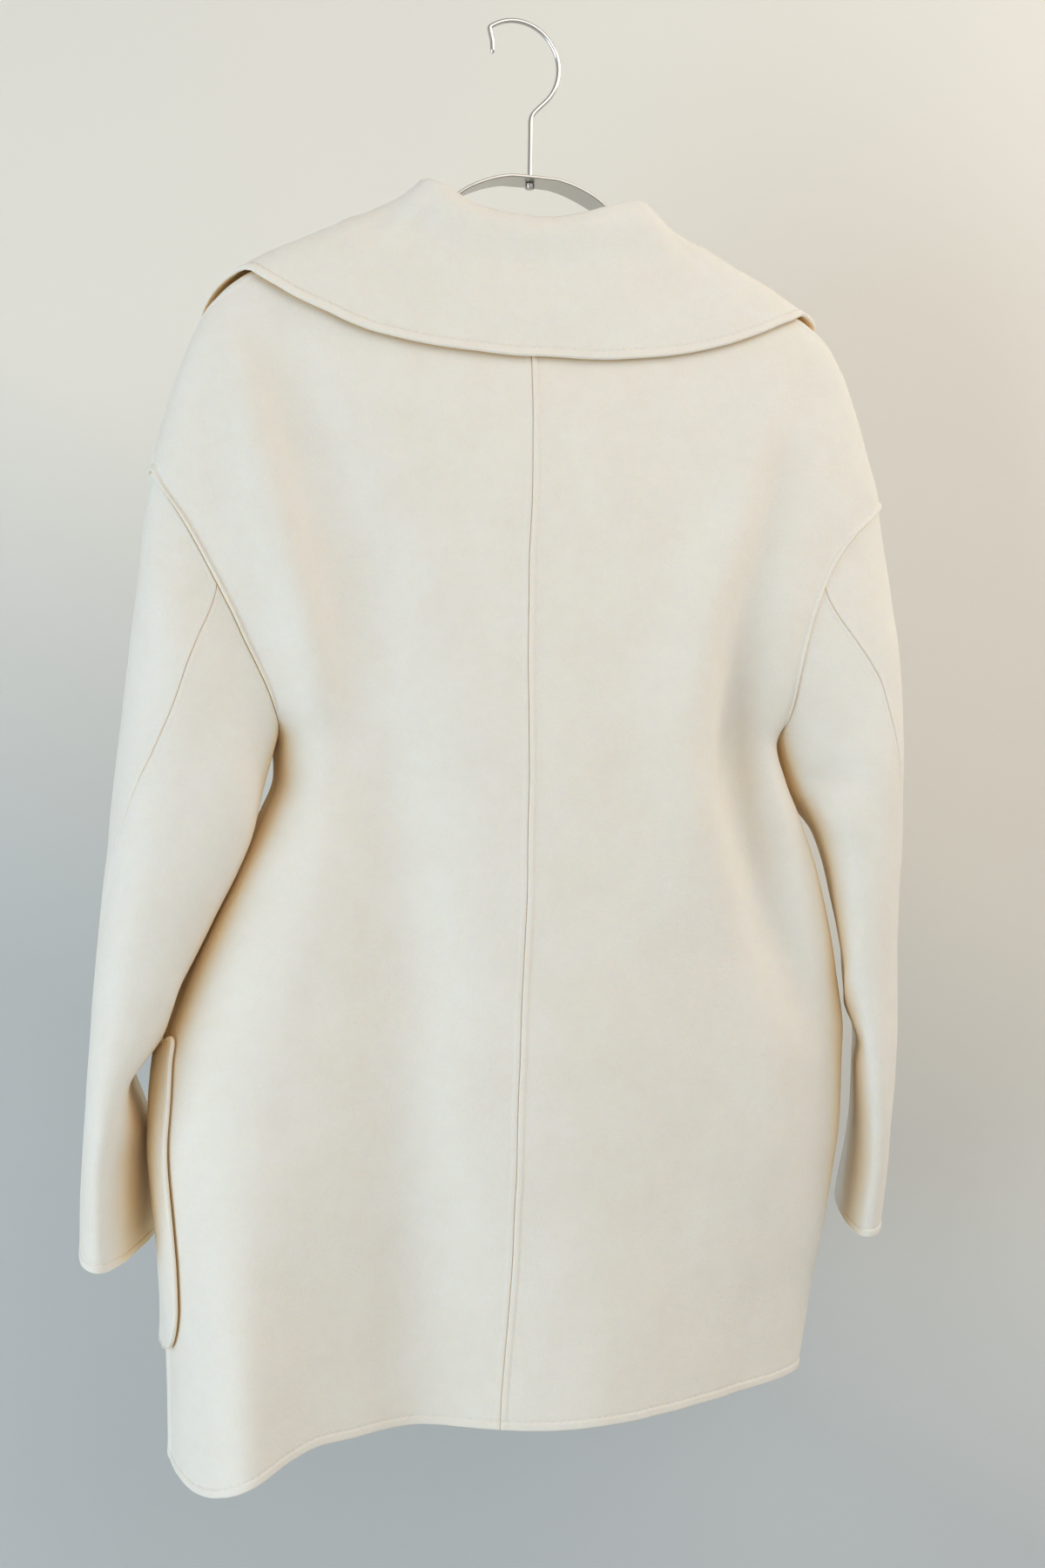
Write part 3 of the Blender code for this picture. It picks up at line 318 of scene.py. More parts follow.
# Creases pressed or pulled into the cloth: points along each one, (across, z, rise, half width)
BACK_CREASES = (
    ((186, -300, 0, 10), (176, -352, 1.6, 11), (160, -420, 2.2, 12), (150, -470, 0, 12)),
    (
        (182, -190, 0, 12),
        (168, -240, -2.4, 15),
        (148, -305, -3.2, 19),
        (122, -375, -2.6, 24),
        (104, -460, 0, 28),
    ),
    ((204, -225, 0, 10), (198, -265, 1.8, 13), (188, -310, 1.4, 14), (180, -340, 0, 14)),
    ((60, -520, 0, 26), (66, -640, 2.0, 30), (60, -780, 1.6, 34), (56, -900, 0, 34)),
    ((16, -560, 0, 20), (12, -700, 1.2, 26), (2, -860, 0.8, 30), (0, -940, 0, 30)),
    ((-60, -470, 0, 30), (-66, -600, 1.8, 36), (-58, -760, 1.6, 40), (-50, -940, 2.5, 44)),
    ((-150, -640, 0, 18), (-166, -720, 1.6, 22), (-176, -800, 1.2, 24), (-180, -880, 0, 26)),
    (
        (-170, -390, 0, 15),
        (-154, -450, -2.0, 19),
        (-144, -510, -3.2, 22),
        (-148, -590, -2.6, 24),
        (-160, -740, 0, 26),
    ),
    ((-186, -560, 0, 9), (-196, -620, 1.8, 10), (-212, -690, 1.2, 12), (-222, -750, 0, 12)),
    ((150, -500, 0, 10), (156, -560, 1.5, 12), (172, -640, 1.5, 14), (190, -720, 0, 16)),
    ((-150, -860, 0, 24), (-152, -920, -2.5, 26), (-154, -965, -3.5, 28)),
    ((150, -800, 0, 20), (150, -880, -2.2, 24), (148, -965, -3.0, 26)),
)
FRONT_CREASES = (
    ((176, -420, 0, 10), (160, -470, 2.0, 12), (150, -560, 1.4, 16), (150, -620, 0, 16)),
    ((-176, -420, 0, 10), (-160, -476, 2.0, 12), (-146, -560, 1.6, 16), (-140, -640, 0, 18)),
    ((70, -480, 0, 22), (72, -640, 1.8, 30), (66, -800, 1.4, 34), (60, -940, 0, 34)),
    ((-66, -470, 0, 24), (-74, -640, 1.8, 30), (-70, -820, 1.4, 36), (-64, -950, 1.5, 38)),
    ((20, -420, 0, 14), (22, -600, -1.4, 20), (20, -800, -1.6, 24), (18, -960, -2.0, 26)),
    ((-176, -500, 0, 8), (-164, -512, -1.8, 9), (-148, -522, 0, 9)),
)
# The same on the sleeves, where across is in degrees from the outer edge round to the back
SLEEVE_CREASES = {
    1: (
        (
            (100, -640, 0, 12),
            (130, -660, 1.8, 13),
            (165, -690, 3.0, 12),
            (195, -700, 2.0, 10),
            (225, -700, 0, 10),
        ),
        (
            (110, -712, 0, 10),
            (140, -716, -2.2, 11),
            (172, -724, -3.4, 10),
            (205, -728, -2.0, 10),
            (235, -724, 0, 9),
        ),
        ((120, -750, 0, 12), (150, -750, 1.6, 13), (180, -756, 2.2, 12), (214, -760, 0, 12)),
        ((40, -560, 0, 20), (44, -640, 1.6, 22), (40, -740, 1.4, 24), (44, -838, 1.0, 24)),
        ((100, -430, 0, 14), (96, -500, -1.8, 16), (92, -580, 0, 18)),
        ((-60, -520, 0, 18), (-66, -620, 2.0, 20), (-60, -720, 1.2, 22), (-60, -800, 0, 22)),
        ((-150, -650, 0, 10), (-176, -680, 2.2, 10), (-200, -704, 0, 10)),
    ),
    -1: (
        ((150, -518, 0, 8), (132, -520, -4.2, 10), (112, -518, -3.2, 12), (92, -512, 0, 13)),
        ((150, -540, 0, 9), (130, -546, 3.0, 11), (108, -550, 2.2, 13), (84, -552, 0, 13)),
        ((100, -640, 0, 12), (132, -660, 1.8, 12), (166, -684, 2.6, 11), (198, -694, 0, 10)),
        ((112, -704, 0, 10), (142, -708, -2.2, 10), (174, -714, -2.8, 10), (206, -716, 0, 10)),
        ((36, -520, 0, 18), (40, -640, 1.6, 22), (36, -760, 1.2, 24), (40, -848, 1.0, 24)),
        ((-60, -500, 0, 18), (-66, -600, 2.0, 20), (-60, -700, 1.2, 22), (-60, -800, 0, 22)),
        ((-150, -640, 0, 10), (-176, -668, 2.2, 10), (-200, -700, 0, 10)),
    ),
}
# And on the collar: (station, share of the way from the neck seam to the edge, rise, half width)
COLLAR_CREASES = {
    1: (
        ((3.4, 0.28, 0, 5), (3.2, 0.40, -2.2, 6), (3.0, 0.52, -1.2, 8), (2.9, 0.62, 0, 9)),
        ((2.7, 0.30, 0, 5), (2.5, 0.40, -1.8, 6), (2.3, 0.52, 0, 8)),
        ((4.2, 0.34, 0, 6), (4.3, 0.50, 1.5, 8), (4.4, 0.72, 1.2, 10), (4.5, 0.9, 0, 12)),
        ((1.3, 0.30, 0, 10), (1.2, 0.50, 1.2, 14), (1.0, 0.75, 0, 16)),
        ((6.5, 0.35, 0, 8), (6.9, 0.55, 1.6, 10), (7.2, 0.85, 1.0, 12)),
    ),
    -1: (
        ((3.4, 0.28, 0, 5), (3.3, 0.42, -1.6, 7), (3.1, 0.58, 0, 9)),
        ((4.1, 0.34, 0, 6), (4.2, 0.50, 1.4, 8), (4.3, 0.72, 1.0, 10), (4.4, 0.9, 0, 12)),
        ((1.8, 0.30, 0, 10), (1.6, 0.50, 1.0, 14), (1.3, 0.8, 0, 16)),
        ((6.7, 0.35, 0, 8), (7.1, 0.55, 1.6, 10), (7.4, 0.85, 1.0, 12)),
    ),
}
STATION_LENGTH = 38.0  # a crease takes a collar station to be this long,
COLLAR_DEPTH = 120.0  # the way from the neck seam to the edge this long,
ROUND_LENGTH = 1.05  # and a degree round a sleeve this long
CREASE_STEPS = 6  # in each stretch of a crease, to round its corners off

# Uneven cloth, as waves in all directions: (longest, shortest, how far it moves)
UNEVEN = ((160.0, 90.0, 0.9), (60.0, 34.0, 0.32), (26.0, 15.0, 0.11))
WAVES = 14
UPRIGHT = 0.6  # up and down they change at this share of that rate

SIDES = ((1, "left"), (-1, "right"))

# The wool's colour runs from a painted warm shade in the crevices, standing in for light bounced
# from cloth to cloth, to its own two tones, each at a place on one scale
WOOL_AND_SHADE_TONES = (
    (0.1, (0.98, 0.74, 0.43)),
    (0.6, (0.865, 0.815, 0.745)),
    (0.85, (0.935, 0.905, 0.86)),
)
TONE_SPREAD = (0.5, 0.475)  # the noises take up this much of the scale, from this place on
SHADE_PAINT_REACH = 0.05  # metres: cloth nearer than this closes a crevice
SHADE_PAINT_FROM = 0.72  # the painted warm shade starts where this share of the sky is open, and grows inward
SHADE_PAINT_SAMPLES = 6
LIGHT_THROUGH = (1.0, 0.55, 0.25)  # the cloth lets light through, the red of it furthest
LIGHT_DEPTH = 0.008  # metres

# Its noises: scale, detail and roughness, and each one's share of the tone
MOTTLE, MOTTLE_SHARE = (22.0, 3.0), 0.45
CLOUD, CLOUD_SHARE = (95.0, 3.0), 0.25
FIBRE, FIBRE_SHARE = (1500.0, 3.0, 0.65), 0.30
FIBRE_STRETCH = (1.0, 1.0, 0.3)  # the nap is brushed downward
FELT = (420.0, 2.0)

# Its relief: depth in metres and strength
FELT_RELIEF = (0.0006, 0.5)
FIBRE_RELIEF = (0.0005, 0.6)
STITCH_RELIEF = (0.0005, 0.7)
STITCH_DEPTH = -0.5
STITCH_WIDTH = 0.9  # half the width of the row of stitches
SHEEN_TINT = (1.0, 0.985, 0.96)

# The steel: colour, roughness and how its scratches are stretched
BRIGHT = ((0.70, 0.69, 0.68), 0.16, (1.0, 1.0, 0.2))
SATIN = ((0.58, 0.57, 0.55), 0.34, (0.08, 1.0, 1.0))
SCRATCHES, SCRATCH_SHARE = (900.0, 3.0), 0.10  # noise, and how much roughness it adds
HAZE, HAZE_SHARE = (60.0, 2.0), 0.08
SCRATCH_RELIEF = (0.00004, 0.5)

# The camera, in pixels of the photograph's 1200 by 1800 frame and millimetres
HALF_WIDE, HALF_TALL = 600.0, 900.0
FOCAL = 2200.0
SENSOR = 36.0
HORIZON = 830.0
CAMERA_AZIMUTH = 163.0
CAMERA_ROLL = 0.8
CAMERA_AWAY = 1340.0
CLIP = (0.05, 50.0)  # metres
STEM_FOOT = (-9.0, 0.0, -104.0)
FOOT_SEEN_AT = (607.5, 203.5)
COAT_MIDDLE = (-10.0, 0.0, -540.0)

# Lights: place as seen from the camera (right, up, nearer), size, power and colour
LIGHTS = {
    "window": ((-1.9, -0.6, 1.7), (2.0, 2.0), 41.0, (0.82, 0.94, 1.0)),
    "ceiling": ((1.1, 1.2, 1.5), (2.0, 1.8), 17.0, (1.0, 0.93, 0.83)),
    "wall_glow": ((1.3, 0.9, 0.1), (0.6, 0.8), 5.0, (1.0, 0.88, 0.74)),
}
WORLD_COLOUR = (1.0, 0.96, 0.905)
WORLD_STRENGTH = 0.42

# The backdrop, in metres: the floor's height, how far behind the coat the wall stands, the radius of
# the bend between them, and how far the paper reaches
FLOOR = -1.75
WALL_AWAY = 0.34
BEND = 0.3
BEND_STEPS = 24
FLOOR_REACH = 6.0
WALL_TOP = 4.0
PAPER_HALF = 7.0
# The paper's colour is painted shade low down and to the left, and painted light higher up and to the
# right
PAPER_SHADED = (0.58, 0.61, 0.63)
PAPER_LIT = (0.85, 0.835, 0.79)
PAPER_SHADE_CHANGE = (-0.95, 0.55, 0.55)  # where the painted shade ends, how far the change to painted light runs, and its slant
PAPER_GRAIN = (160.0, 4.0)
PAPER_RELIEF = (0.0004, 0.3)


def smooth_step(t):
    t = np.clip(t, 0.0, 1.0)
    return t * t * (3.0 - 2.0 * t)


def cubic(start, end, leaving, arriving, t):
    """A curve from start to end with these rises at its ends, at t between 0 and 1."""
    return (
        start * (1 + 2 * t) * (1 - t) ** 2
        + leaving * t * (1 - t) ** 2
        + end * t * t * (3 - 2 * t)
        - arriving * t * t * (1 - t)
    )


def smooth_curve(stations, values, at):
    """A curve through the values with no overshoot (monotone cubic), held level past both ends."""
    order = np.argsort(stations)
    x, y = np.asarray(stations, float)[order], np.asarray(values, float)[order]
    step, rise = np.diff(x), np.diff(y)
    slope = rise / step
    tangent = np.zeros_like(y)
    same = slope[:-1] * slope[1:] > 0
    a, b = 2 * step[1:] + step[:-1], step[1:] + 2 * step[:-1]
    safe_low, safe_high = np.where(same, slope[:-1], 1.0), np.where(same, slope[1:], 1.0)
    tangent[1:-1] = np.where(same, (a + b) / (a / safe_low + b / safe_high), 0.0)
    tangent[0], tangent[-1] = slope[0], slope[-1]
    at = np.clip(np.asarray(at, float), x[0], x[-1])
    i = np.clip(np.searchsorted(x, at) - 1, 0, len(x) - 2)
    t = (at - x[i]) / step[i]
    return cubic(y[i], y[i + 1], tangent[i] * step[i], tangent[i + 1] * step[i], t)


def column(rows, columns, name, at):
    """Reads the named column of a table at places along its first column."""
    table = np.asarray(rows, float)
    return smooth_curve(table[:, 0], table[:, columns.index(name)], at)


def body_size(name, z):
    return column(BODY, BODY_COLUMNS, name, z)


def half_width(side, z):
    """From the coat's middle to its side; the side is 1 on the left and -1 on the right."""
    return body_size("left" if side > 0 else "right", z)


def fold_rise(folds, x, z):
    """How far the folds move the cloth out, x across from the coat's middle."""
    total = np.zeros(np.broadcast(x, z).shape)
    for stations in folds.values():
        centre = column(stations, FOLD_COLUMNS, "across", z)
        rise = column(stations, FOLD_COLUMNS, "rise", z)
        width = column(stations, FOLD_COLUMNS, "half_width", z)
        total = total + rise * np.exp(-(((x - centre) / width) ** 2))
    return total


def body_surface(share, z, front):
    """The cloth's outer face, by height and the share of its half width: 1 left seam, -1 right seam."""
    share, z = np.broadcast_arrays(np.asarray(share, float), np.asarray(z, float))
    half = np.where(share >= 0, body_size("left", z), body_size("right", z))
    inside = np.clip(1.0 - share**2, 0.0, 1.0)
    if front:
        x = half * share
        roundness = body_size("round_front", z)
        depth, folds, facing = body_size("front", z), FRONT_FOLDS, -1.0
    else:
        centre = column(CENTRE_BACK, CENTRE_BACK_COLUMNS, "across", z)
        x = half * share + centre * inside
        left_weight = smooth_step((share + 1.0) / 2.0)
        round_left, round_right = body_size("round_left", z), body_size("round_right", z)
        roundness = round_right + left_weight * (round_left - round_right)
        depth, folds, facing = body_size("back", z), BACK_FOLDS, 1.0
    hollow = depth * inside ** (roundness / 2.0)
    out = hollow + fold_rise(folds, x, z) * (1.0 - (1.0 - inside) ** FOLD_FADE)
    return np.stack([COAT_CENTRE + x, facing * out, z], axis=-1)


def unit(vectors):
    return vectors / np.maximum(np.linalg.norm(vectors, axis=-1, keepdims=True), 1e-9)


def length_along(points):
    """Distance along a row of points, from 0 at its first point."""
    steps = np.linalg.norm(np.diff(points, axis=0), axis=1)
    return np.concatenate([[0.0], np.cumsum(steps)])


def at_distance(values, along, distances):
    return np.stack([np.interp(distances, along, v) for v in values.T], axis=-1)


def evenly(values, points, count):
    """Values at places spaced evenly along the points that they belong to."""
    along = length_along(points)
    return at_distance(values, along, np.linspace(0.0, along[-1], count + 1))


def back_neckline():
    """Distance across and height along the back neckline, from the centre to the shoulder."""
    t = 1.0 - (1.0 - np.linspace(0.0, 1.0, DENSE)) ** 3
    z = NECK_POINT[1] - NECK_BACK_DROP * (1.0 - t**NECK_BACK_BEND)
    return np.stack([NECK_POINT[0] * t, z], axis=-1)


def front_neckline():
    """The same from the shoulder to the front neckline's end beside the middle."""
    t = np.linspace(0.0, 1.0, DENSE) ** 3
    z = NECK_POINT[1] + (NECK_FRONT[1] - NECK_POINT[1]) * t
    across = NECK_FRONT[0] + (NECK_POINT[0] - NECK_FRONT[0]) * np.cos(t * math.pi / 2.0)
    return np.stack([across, z], axis=-1)


def outer_points(side, line, front):
    """The cloth's outer face along a line of distances across and heights."""
    share = np.clip(line[:, 0] / half_width(side, line[:, 1]), -1.0, 1.0)
    return body_surface(side * share, line[:, 1], front)


def column_tops(side, front):
    """Distance across and height of each column's top, along the neckline and the shoulder."""
    z = np.linspace(NECK_POINT[1], ARMHOLE_TOP, DENSE)
    shoulder = np.stack([half_width(side, z), z], axis=-1)
    shoulder = evenly(shoulder, outer_points(side, shoulder, front), SHOULDER_CELLS)
    if not front:
        neck = back_neckline()
        neck = evenly(neck, outer_points(side, neck, front), NECK_BACK_CELLS)
        return np.concatenate([neck, shoulder[1:]])
    neck = front_neckline()
    along = length_along(outer_points(side, neck, front))
    places = np.linspace(1.0, 0.0, NECK_FRONT_CELLS + 1) ** NECK_CROWD
    neck = at_distance(neck, along, along[-1] * places)
    across = np.linspace(-OVERLAP, NECK_FRONT[0], FRONT_BASE_CELLS + 1)
    base = np.stack([across, np.full(len(across), NECK_FRONT[1])], axis=-1)
    return np.concatenate([base[:-1], neck, shoulder[1:]])


def hem_shares(side, front, count):
    """Each column's share of the half width at the hem, spaced evenly round it."""
    first = -OVERLAP / half_width(side, HEM[0][1]) if front else 0.0
    angle = np.linspace(math.asin(first), math.pi / 2.0, DENSE)
    share = np.sin(angle)
    points = body_surface(side * share, np.full(DENSE, float(HEM[0][1])), front)
    return evenly(share[:, None], points, count - 1)[:, 0]


def hem_height(side, share, front):
    round_place = np.arcsin(np.clip(share, -1.0, 1.0)) / (math.pi / 2.0)
    return column(HEM, HEM_COLUMNS, "z", side * np.where(front, 2.0 - round_place, round_place))


def panel_edge(side, z):
    """How far the armhole and the side seam lie from the middle."""
    seam = column(ARMHOLE, ARMHOLE_COLUMNS, "left" if side > 0 else "right", z)
    seam = np.where(z > ARMHOLE_TOP, half_width(side, ARMHOLE_TOP), seam)
    return np.where(z <= UNDERARM[side], half_width(side, z), seam)


def panel_column(side, front, top, even_share, hem_share):
    """A dense line of points down the cloth from the neckline or the shoulder."""
    z_end = float(hem_height(side, hem_share, front))
    z = top[1] + (z_end - top[1]) * np.linspace(0.0, 1.0, DENSE) ** COLUMN_CROWD
    top_share = top[0] / half_width(side, ARMHOLE_TOP)
    share = top_share + (even_share - top_share) * smooth_step((top[1] - z) / (top[1] - EVEN_AT))
    share = share + (hem_share - even_share) * smooth_step((EVEN_AT - z) / (EVEN_AT - HEM_LIKE_AT))
    return outer_points(side, np.stack([panel_edge(side, z) * share, z], axis=-1), front)


def side_line(side, front):
    """The armhole and the side seam as one line of points, with even cells along each."""
    z = np.linspace(ARMHOLE_TOP, UNDERARM[side], DENSE)
    armhole = outer_points(side, np.stack([panel_edge(side, z), z], axis=-1), front)
    armhole[0] = body_surface(side, ARMHOLE_TOP, front)
    armhole = np.concatenate([armhole[:-1], body_surface(side, np.full(1, UNDERARM[side]), front)])
    z_end = float(hem_height(side, 1.0, front))
    seam = body_surface(side, np.linspace(UNDERARM[side], z_end, DENSE), front)
    armhole, seam = evenly(armhole, armhole, ARMHOLE_CELLS), evenly(seam, seam, SIDE_CELLS)
    return np.concatenate([armhole, seam[1:]])


def seam_set_back(top):
    """How far the shoulder seam lies behind the crest of the shoulder."""
    run, high, low = SET_BACK_RUN
    start = smooth_step((top[0] - NECK_POINT[0]) / run)
    return SEAM_SET_BACK * float(start * smooth_step((top[1] - low) / (high - low)))


def panel(side, front, back_panel=None):
    """The outer face of one half of the back or front: rows run down, columns from the middle out.

    The front needs the back beside it, whose shoulder line it shares.
    """
    tops = column_tops(side, front)
    shares = hem_shares(side, front, len(tops))
    last = side_line(side, front)
    side_places = length_along(last) / length_along(last)[-1]
    rows = np.linspace(0.0, 1.0, len(last)) ** ROWS_CROWD
    below = np.arange(len(last)) / ARMHOLE_CELLS - 1.0
    dip = UNDERARM_DIP * np.exp(-((below / DIP_REACH) ** 2))
    even = np.linspace(shares[0], 1.0, len(tops))
    lines = []
    for i, top in enumerate(tops[:-1]):
        points = panel_column(side, front, top, even[i], shares[i])
        set_back = seam_set_back(top)
        if front and set_back > 0.0:
            over = panel_column(side, False, top, even[i], shares[i])
            along = length_along(over)
            over = at_distance(over, along, np.linspace(set_back, 0.0, CREST_POINTS))
            points = np.concatenate([over[:-1], points])
            set_back = 0.0
        along = length_along(points)
        nearness = (max(top[0], 0.0) / tops[-1][0]) ** NEAR_SIDE
        # The dip is full halfway to the side and nothing at the middle and the side
        places = rows + (side_places - rows) * nearness + dip * 4.0 * nearness * (1.0 - nearness)
        lines.append(at_distance(points, along, set_back + (along[-1] - set_back) * places))
    grid = np.stack(lines + [last], axis=1)
    if front:
        grid[0, -SHOULDER_CELLS - 1:] = back_panel[0, -SHOULDER_CELLS - 1:]
        across = (grid[..., 0] - COAT_CENTRE) * side
        near = 1.0 - smooth_step((across - LAYER_ENDS[0]) / (LAYER_ENDS[1] - LAYER_ENDS[0]))
        grid[..., 1] += side * LAYER * near
    return grid


def squared(t):
    """Makes a round section flatter on its sides."""
    return np.sign(t) * np.abs(t) ** SLEEVE_SQUARENESS


def sleeve_ring(side, ring, place):
    """Points round the sleeve: place 0 is its outer edge, 0.25 the back and 0.5 the inner edge."""
    size = {name: column(SLEEVES[side], SLEEVE_COLUMNS, name, ring) for name in SLEEVE_COLUMNS}
    angle = place * 2.0 * math.pi
    outward, back = squared(np.cos(angle)), squared(np.sin(angle))
    across = (size["outer"] + size["inner"]) / 2 + (size["outer"] - size["inner"]) / 2 * outward
    leaning = size["lean"] + size["inner_lean"] * (1.0 - outward) / 2
    across = across + leaning * size["depth"] * back
    z = (size["z_outer"] + size["z_inner"]) / 2 + (size["z_outer"] - size["z_inner"]) / 2 * outward
    y = size["middle"] + size["depth"] * back
    return np.stack([COAT_CENTRE + side * across, y + 0.0 * z, z + 0.0 * y], axis=-1)


def sleeve(side, back_panel, front_panel):
    """The outer face of the sleeve's top and under pieces, and each point's place round the sleeve."""
    back, front = back_panel[: ARMHOLE_CELLS + 1, -1], front_panel[: ARMHOLE_CELLS + 1, -1]
    turn = np.linspace(0.0, 0.5, ARMHOLE_CELLS + 1)
    split = SLEEVE_SPLIT
    loops = {
        "top": (
            np.concatenate([front[split:0:-1], back[: split + 1]]),
            np.concatenate([-turn[split:0:-1], turn[: split + 1]]),
        ),
        "under": (
            np.concatenate([back[split:], front[split:-1][::-1]]),
            np.concatenate([turn[split:], 1.0 - turn[split:-1][::-1]]),
        ),
    }
    ring = np.linspace(0.0, SLEEVES[side][-1][0], SLEEVE_ROWS + 1)
    begin, end = SLEEVE_TWIST_RUN
    twist = SLEEVE_TWIST * smooth_step((ring - begin) / (end - begin))
    fade = 1.0 - smooth_step(ring / SLEEVE_BLEND)
    pieces = {}
    for name, (armhole, places) in loops.items():
        start = sleeve_ring(side, np.zeros((1, 1)), places[None, :])
        turned = places[None, :] - twist[:, None]
        grid = sleeve_ring(side, ring[:, None], turned)
        pieces[name] = grid + (armhole[None] - start) * fade[:, None, None], turned
    return pieces


def body_place(side, place, z):
    """The cloth's outer face by how far round it is: 0 centre back, 1 the side, 2 centre front."""
    share = side * np.sin(place * math.pi / 2.0)
    behind, ahead = body_surface(share, z, False), body_surface(share, z, True)
    return np.where((place <= 1.0)[..., None], behind, ahead)


def body_outward(side, place, z):
    """The direction out of the cloth there."""
    step, drop = 0.03, 2.0
    round_it = body_place(side, place + step, z) - body_place(side, place - step, z)
    down_it = body_place(side, place, z - drop) - body_place(side, place, z + drop)
    return unit(side * np.cross(round_it, down_it))


def collar_half(side, back_panel, front_panel):
    """The collar's visible face on one side: rows from the neck seam over the roll to the edge."""
    on_back = slice(0, NECK_BACK_CELLS + 1)
    on_front = slice(FRONT_BASE_CELLS, FRONT_BASE_CELLS + NECK_FRONT_CELLS + 1)
    necks = (back_panel[0, on_back], front_panel[0, on_front][::-1])
    tops = (column_tops(side, False)[on_back], column_tops(side, True)[on_front][::-1])
    station = np.linspace(0.0, COLLAR[-1][0], COLLAR_CELLS + 1)
    size = {name: column(COLLAR, COLLAR_COLUMNS, name, station) for name in COLLAR_COLUMNS}
    neck, plan = [], []
    for place in size["neck"]:
        front = int(place > 1.0)
        along = length_along(necks[front])
        distance = [(place - front) * along[-1]]
        neck.append(at_distance(necks[front], along, distance)[0])
        plan.append(at_distance(tops[front], along, distance)[0])
    neck, plan = np.array(neck), np.array(plan)
    share = np.clip(plan[:, 0] / half_width(side, plan[:, 1]), 0.0, 1.0)
    start = np.arcsin(share) / (math.pi / 2.0)
    start = np.where(size["neck"] > 1.0, 2.0 - start, start)
    along_neck = unit(np.gradient(neck, axis=0))
    toward_front = smooth_step((station - SHOULDER_STATION) / FRONT_TURN)[:, None]
    upright, lying = np.array([0.0, 0.0, 1.0]), np.array([side, 0.0, FRONT_SLANT])
    lift = upright * (1 - toward_front) - toward_front * lying
    outward = unit(side * np.cross(lift, along_neck))
    lift = unit(side * np.cross(along_neck, outward))
    ahead = smooth_step((station - SHOULDER_STATION) / COLLAR_GAP_RUN + 0.5)[:, None]
    foot = neck + (COLLAR_GAP + COLLAR_FRONT_GAP * ahead) * lift - CLOTH * outward
    stand = size["stand"][:, None]
    rows = [
        foot,
        foot + 0.5 * stand * lift - STAND_LEAN * outward,
        foot + stand * lift,
        foot + (stand + ROLL_RADIUS) * lift + ROLL_RADIUS * outward,
        foot + stand * lift + 2.0 * ROLL_RADIUS * outward,
    ]
    for place in FALL_PLACES:
        round_place = start + (size["edge"] - start) * place
        z = plan[:, 1] + (size["edge_z"] - plan[:, 1]) * place
        off = size["off_edge"] + (size["off_roll"] - size["off_edge"]) * (1.0 - place) ** 2
        outer = body_place(side, round_place, z)
        rows.append(outer + off[:, None] * body_outward(side, round_place, z))
    lines, shares = [], []
    for line in np.stack(rows, axis=1):
        along = length_along(line)
        at = np.linspace(0.0, along[-1], COLLAR_ROWS + 1)
        lines.append(curve_at(line, along, at))
        shares.append(at / along[-1])
    places = np.stack([np.broadcast_to(station[:, None], np.shape(shares)), shares], axis=-1)
    return np.stack(lines, axis=1), places.swapaxes(0, 1)


def collar(pieces):
    """The collar's visible face from one front end to the other, and how far its creases rise."""
    scale = (STATION_LENGTH, COLLAR_DEPTH)
    halves = []
    for side, word in SIDES:
        back, front = pieces[f"back_{word}"]["form"], pieces[f"front_{word}"]["form"]
        grid, places = collar_half(side, back, front)
        rise = crease_rise(COLLAR_CREASES[side], places[..., 0], places[..., 1], scale)
        halves.append((grid, rise))
    return [np.concatenate([right[:, :0:-1], left], axis=1) for left, right in zip(*halves)]


def crease_rise(creases, u, v, scale=(1.0, 1.0)):
    """How far creases move the cloth out, at places given by two coordinates.

    The scale turns these, and a crease's first two numbers, into millimetres.
    """
    u, v = u * scale[0], v * scale[1]
    total = np.zeros(np.broadcast(u, v).shape)
    for crease in creases:
        points = np.asarray(crease, float) * (*scale, 1.0, 1.0)
        at = np.linspace(0, len(points) - 1, CREASE_STEPS * (len(points) - 1) + 1)
        points = np.stack([smooth_curve(np.arange(len(points)), c, at) for c in points.T], axis=-1)
        nearest, found = np.full(total.shape, 1e9), np.zeros(total.shape)
        for (u0, v0, rise0, width0), (u1, v1, rise1, width1) in zip(points[:-1], points[1:]):
            length = max((u1 - u0) ** 2 + (v1 - v0) ** 2, 1e-6)
            t = np.clip(((u - u0) * (u1 - u0) + (v - v0) * (v1 - v0)) / length, 0.0, 1.0)
            width = width0 + (width1 - width0) * t
            away = np.hypot(u - u0 - t * (u1 - u0), v - v0 - t * (v1 - v0)) / width
            found = np.where(away < nearest, (rise0 + (rise1 - rise0) * t) * np.exp(-(away**2)), found)
            nearest = np.minimum(nearest, away)
        total = total + found
    return total


def unevenness(points):
    """A small smooth movement of the cloth, the same for pieces that share a point."""
    rng = np.random.default_rng(11)
    moved = np.zeros(points.shape)
    for longest, shortest, size in UNEVEN:
        for _ in range(WAVES):
            heading = unit(rng.normal(size=3))
            heading[2] *= UPRIGHT
            wave = rng.uniform(shortest, longest)
            phase = points @ heading * (2.0 * math.pi / wave) + rng.uniform(0.0, 2.0 * math.pi)
            moved += np.sin(phase)[..., None] * unit(rng.normal(size=3)) * size * math.sqrt(2.0 / WAVES)
    return moved


def curve_at(values, along, at):
    """Values at distances along a line, on a smooth curve through its points."""
    along = along + 1e-7 * np.arange(len(along))
    slopes = np.gradient(values, along, axis=0)
    i = np.clip(np.searchsorted(along, at) - 1, 0, len(along) - 2)
    step = (along[i + 1] - along[i])[:, None]
    t = ((at - along[i])[:, None]) / step
    return cubic(values[i], values[i + 1], slopes[i] * step, slopes[i + 1] * step, t)


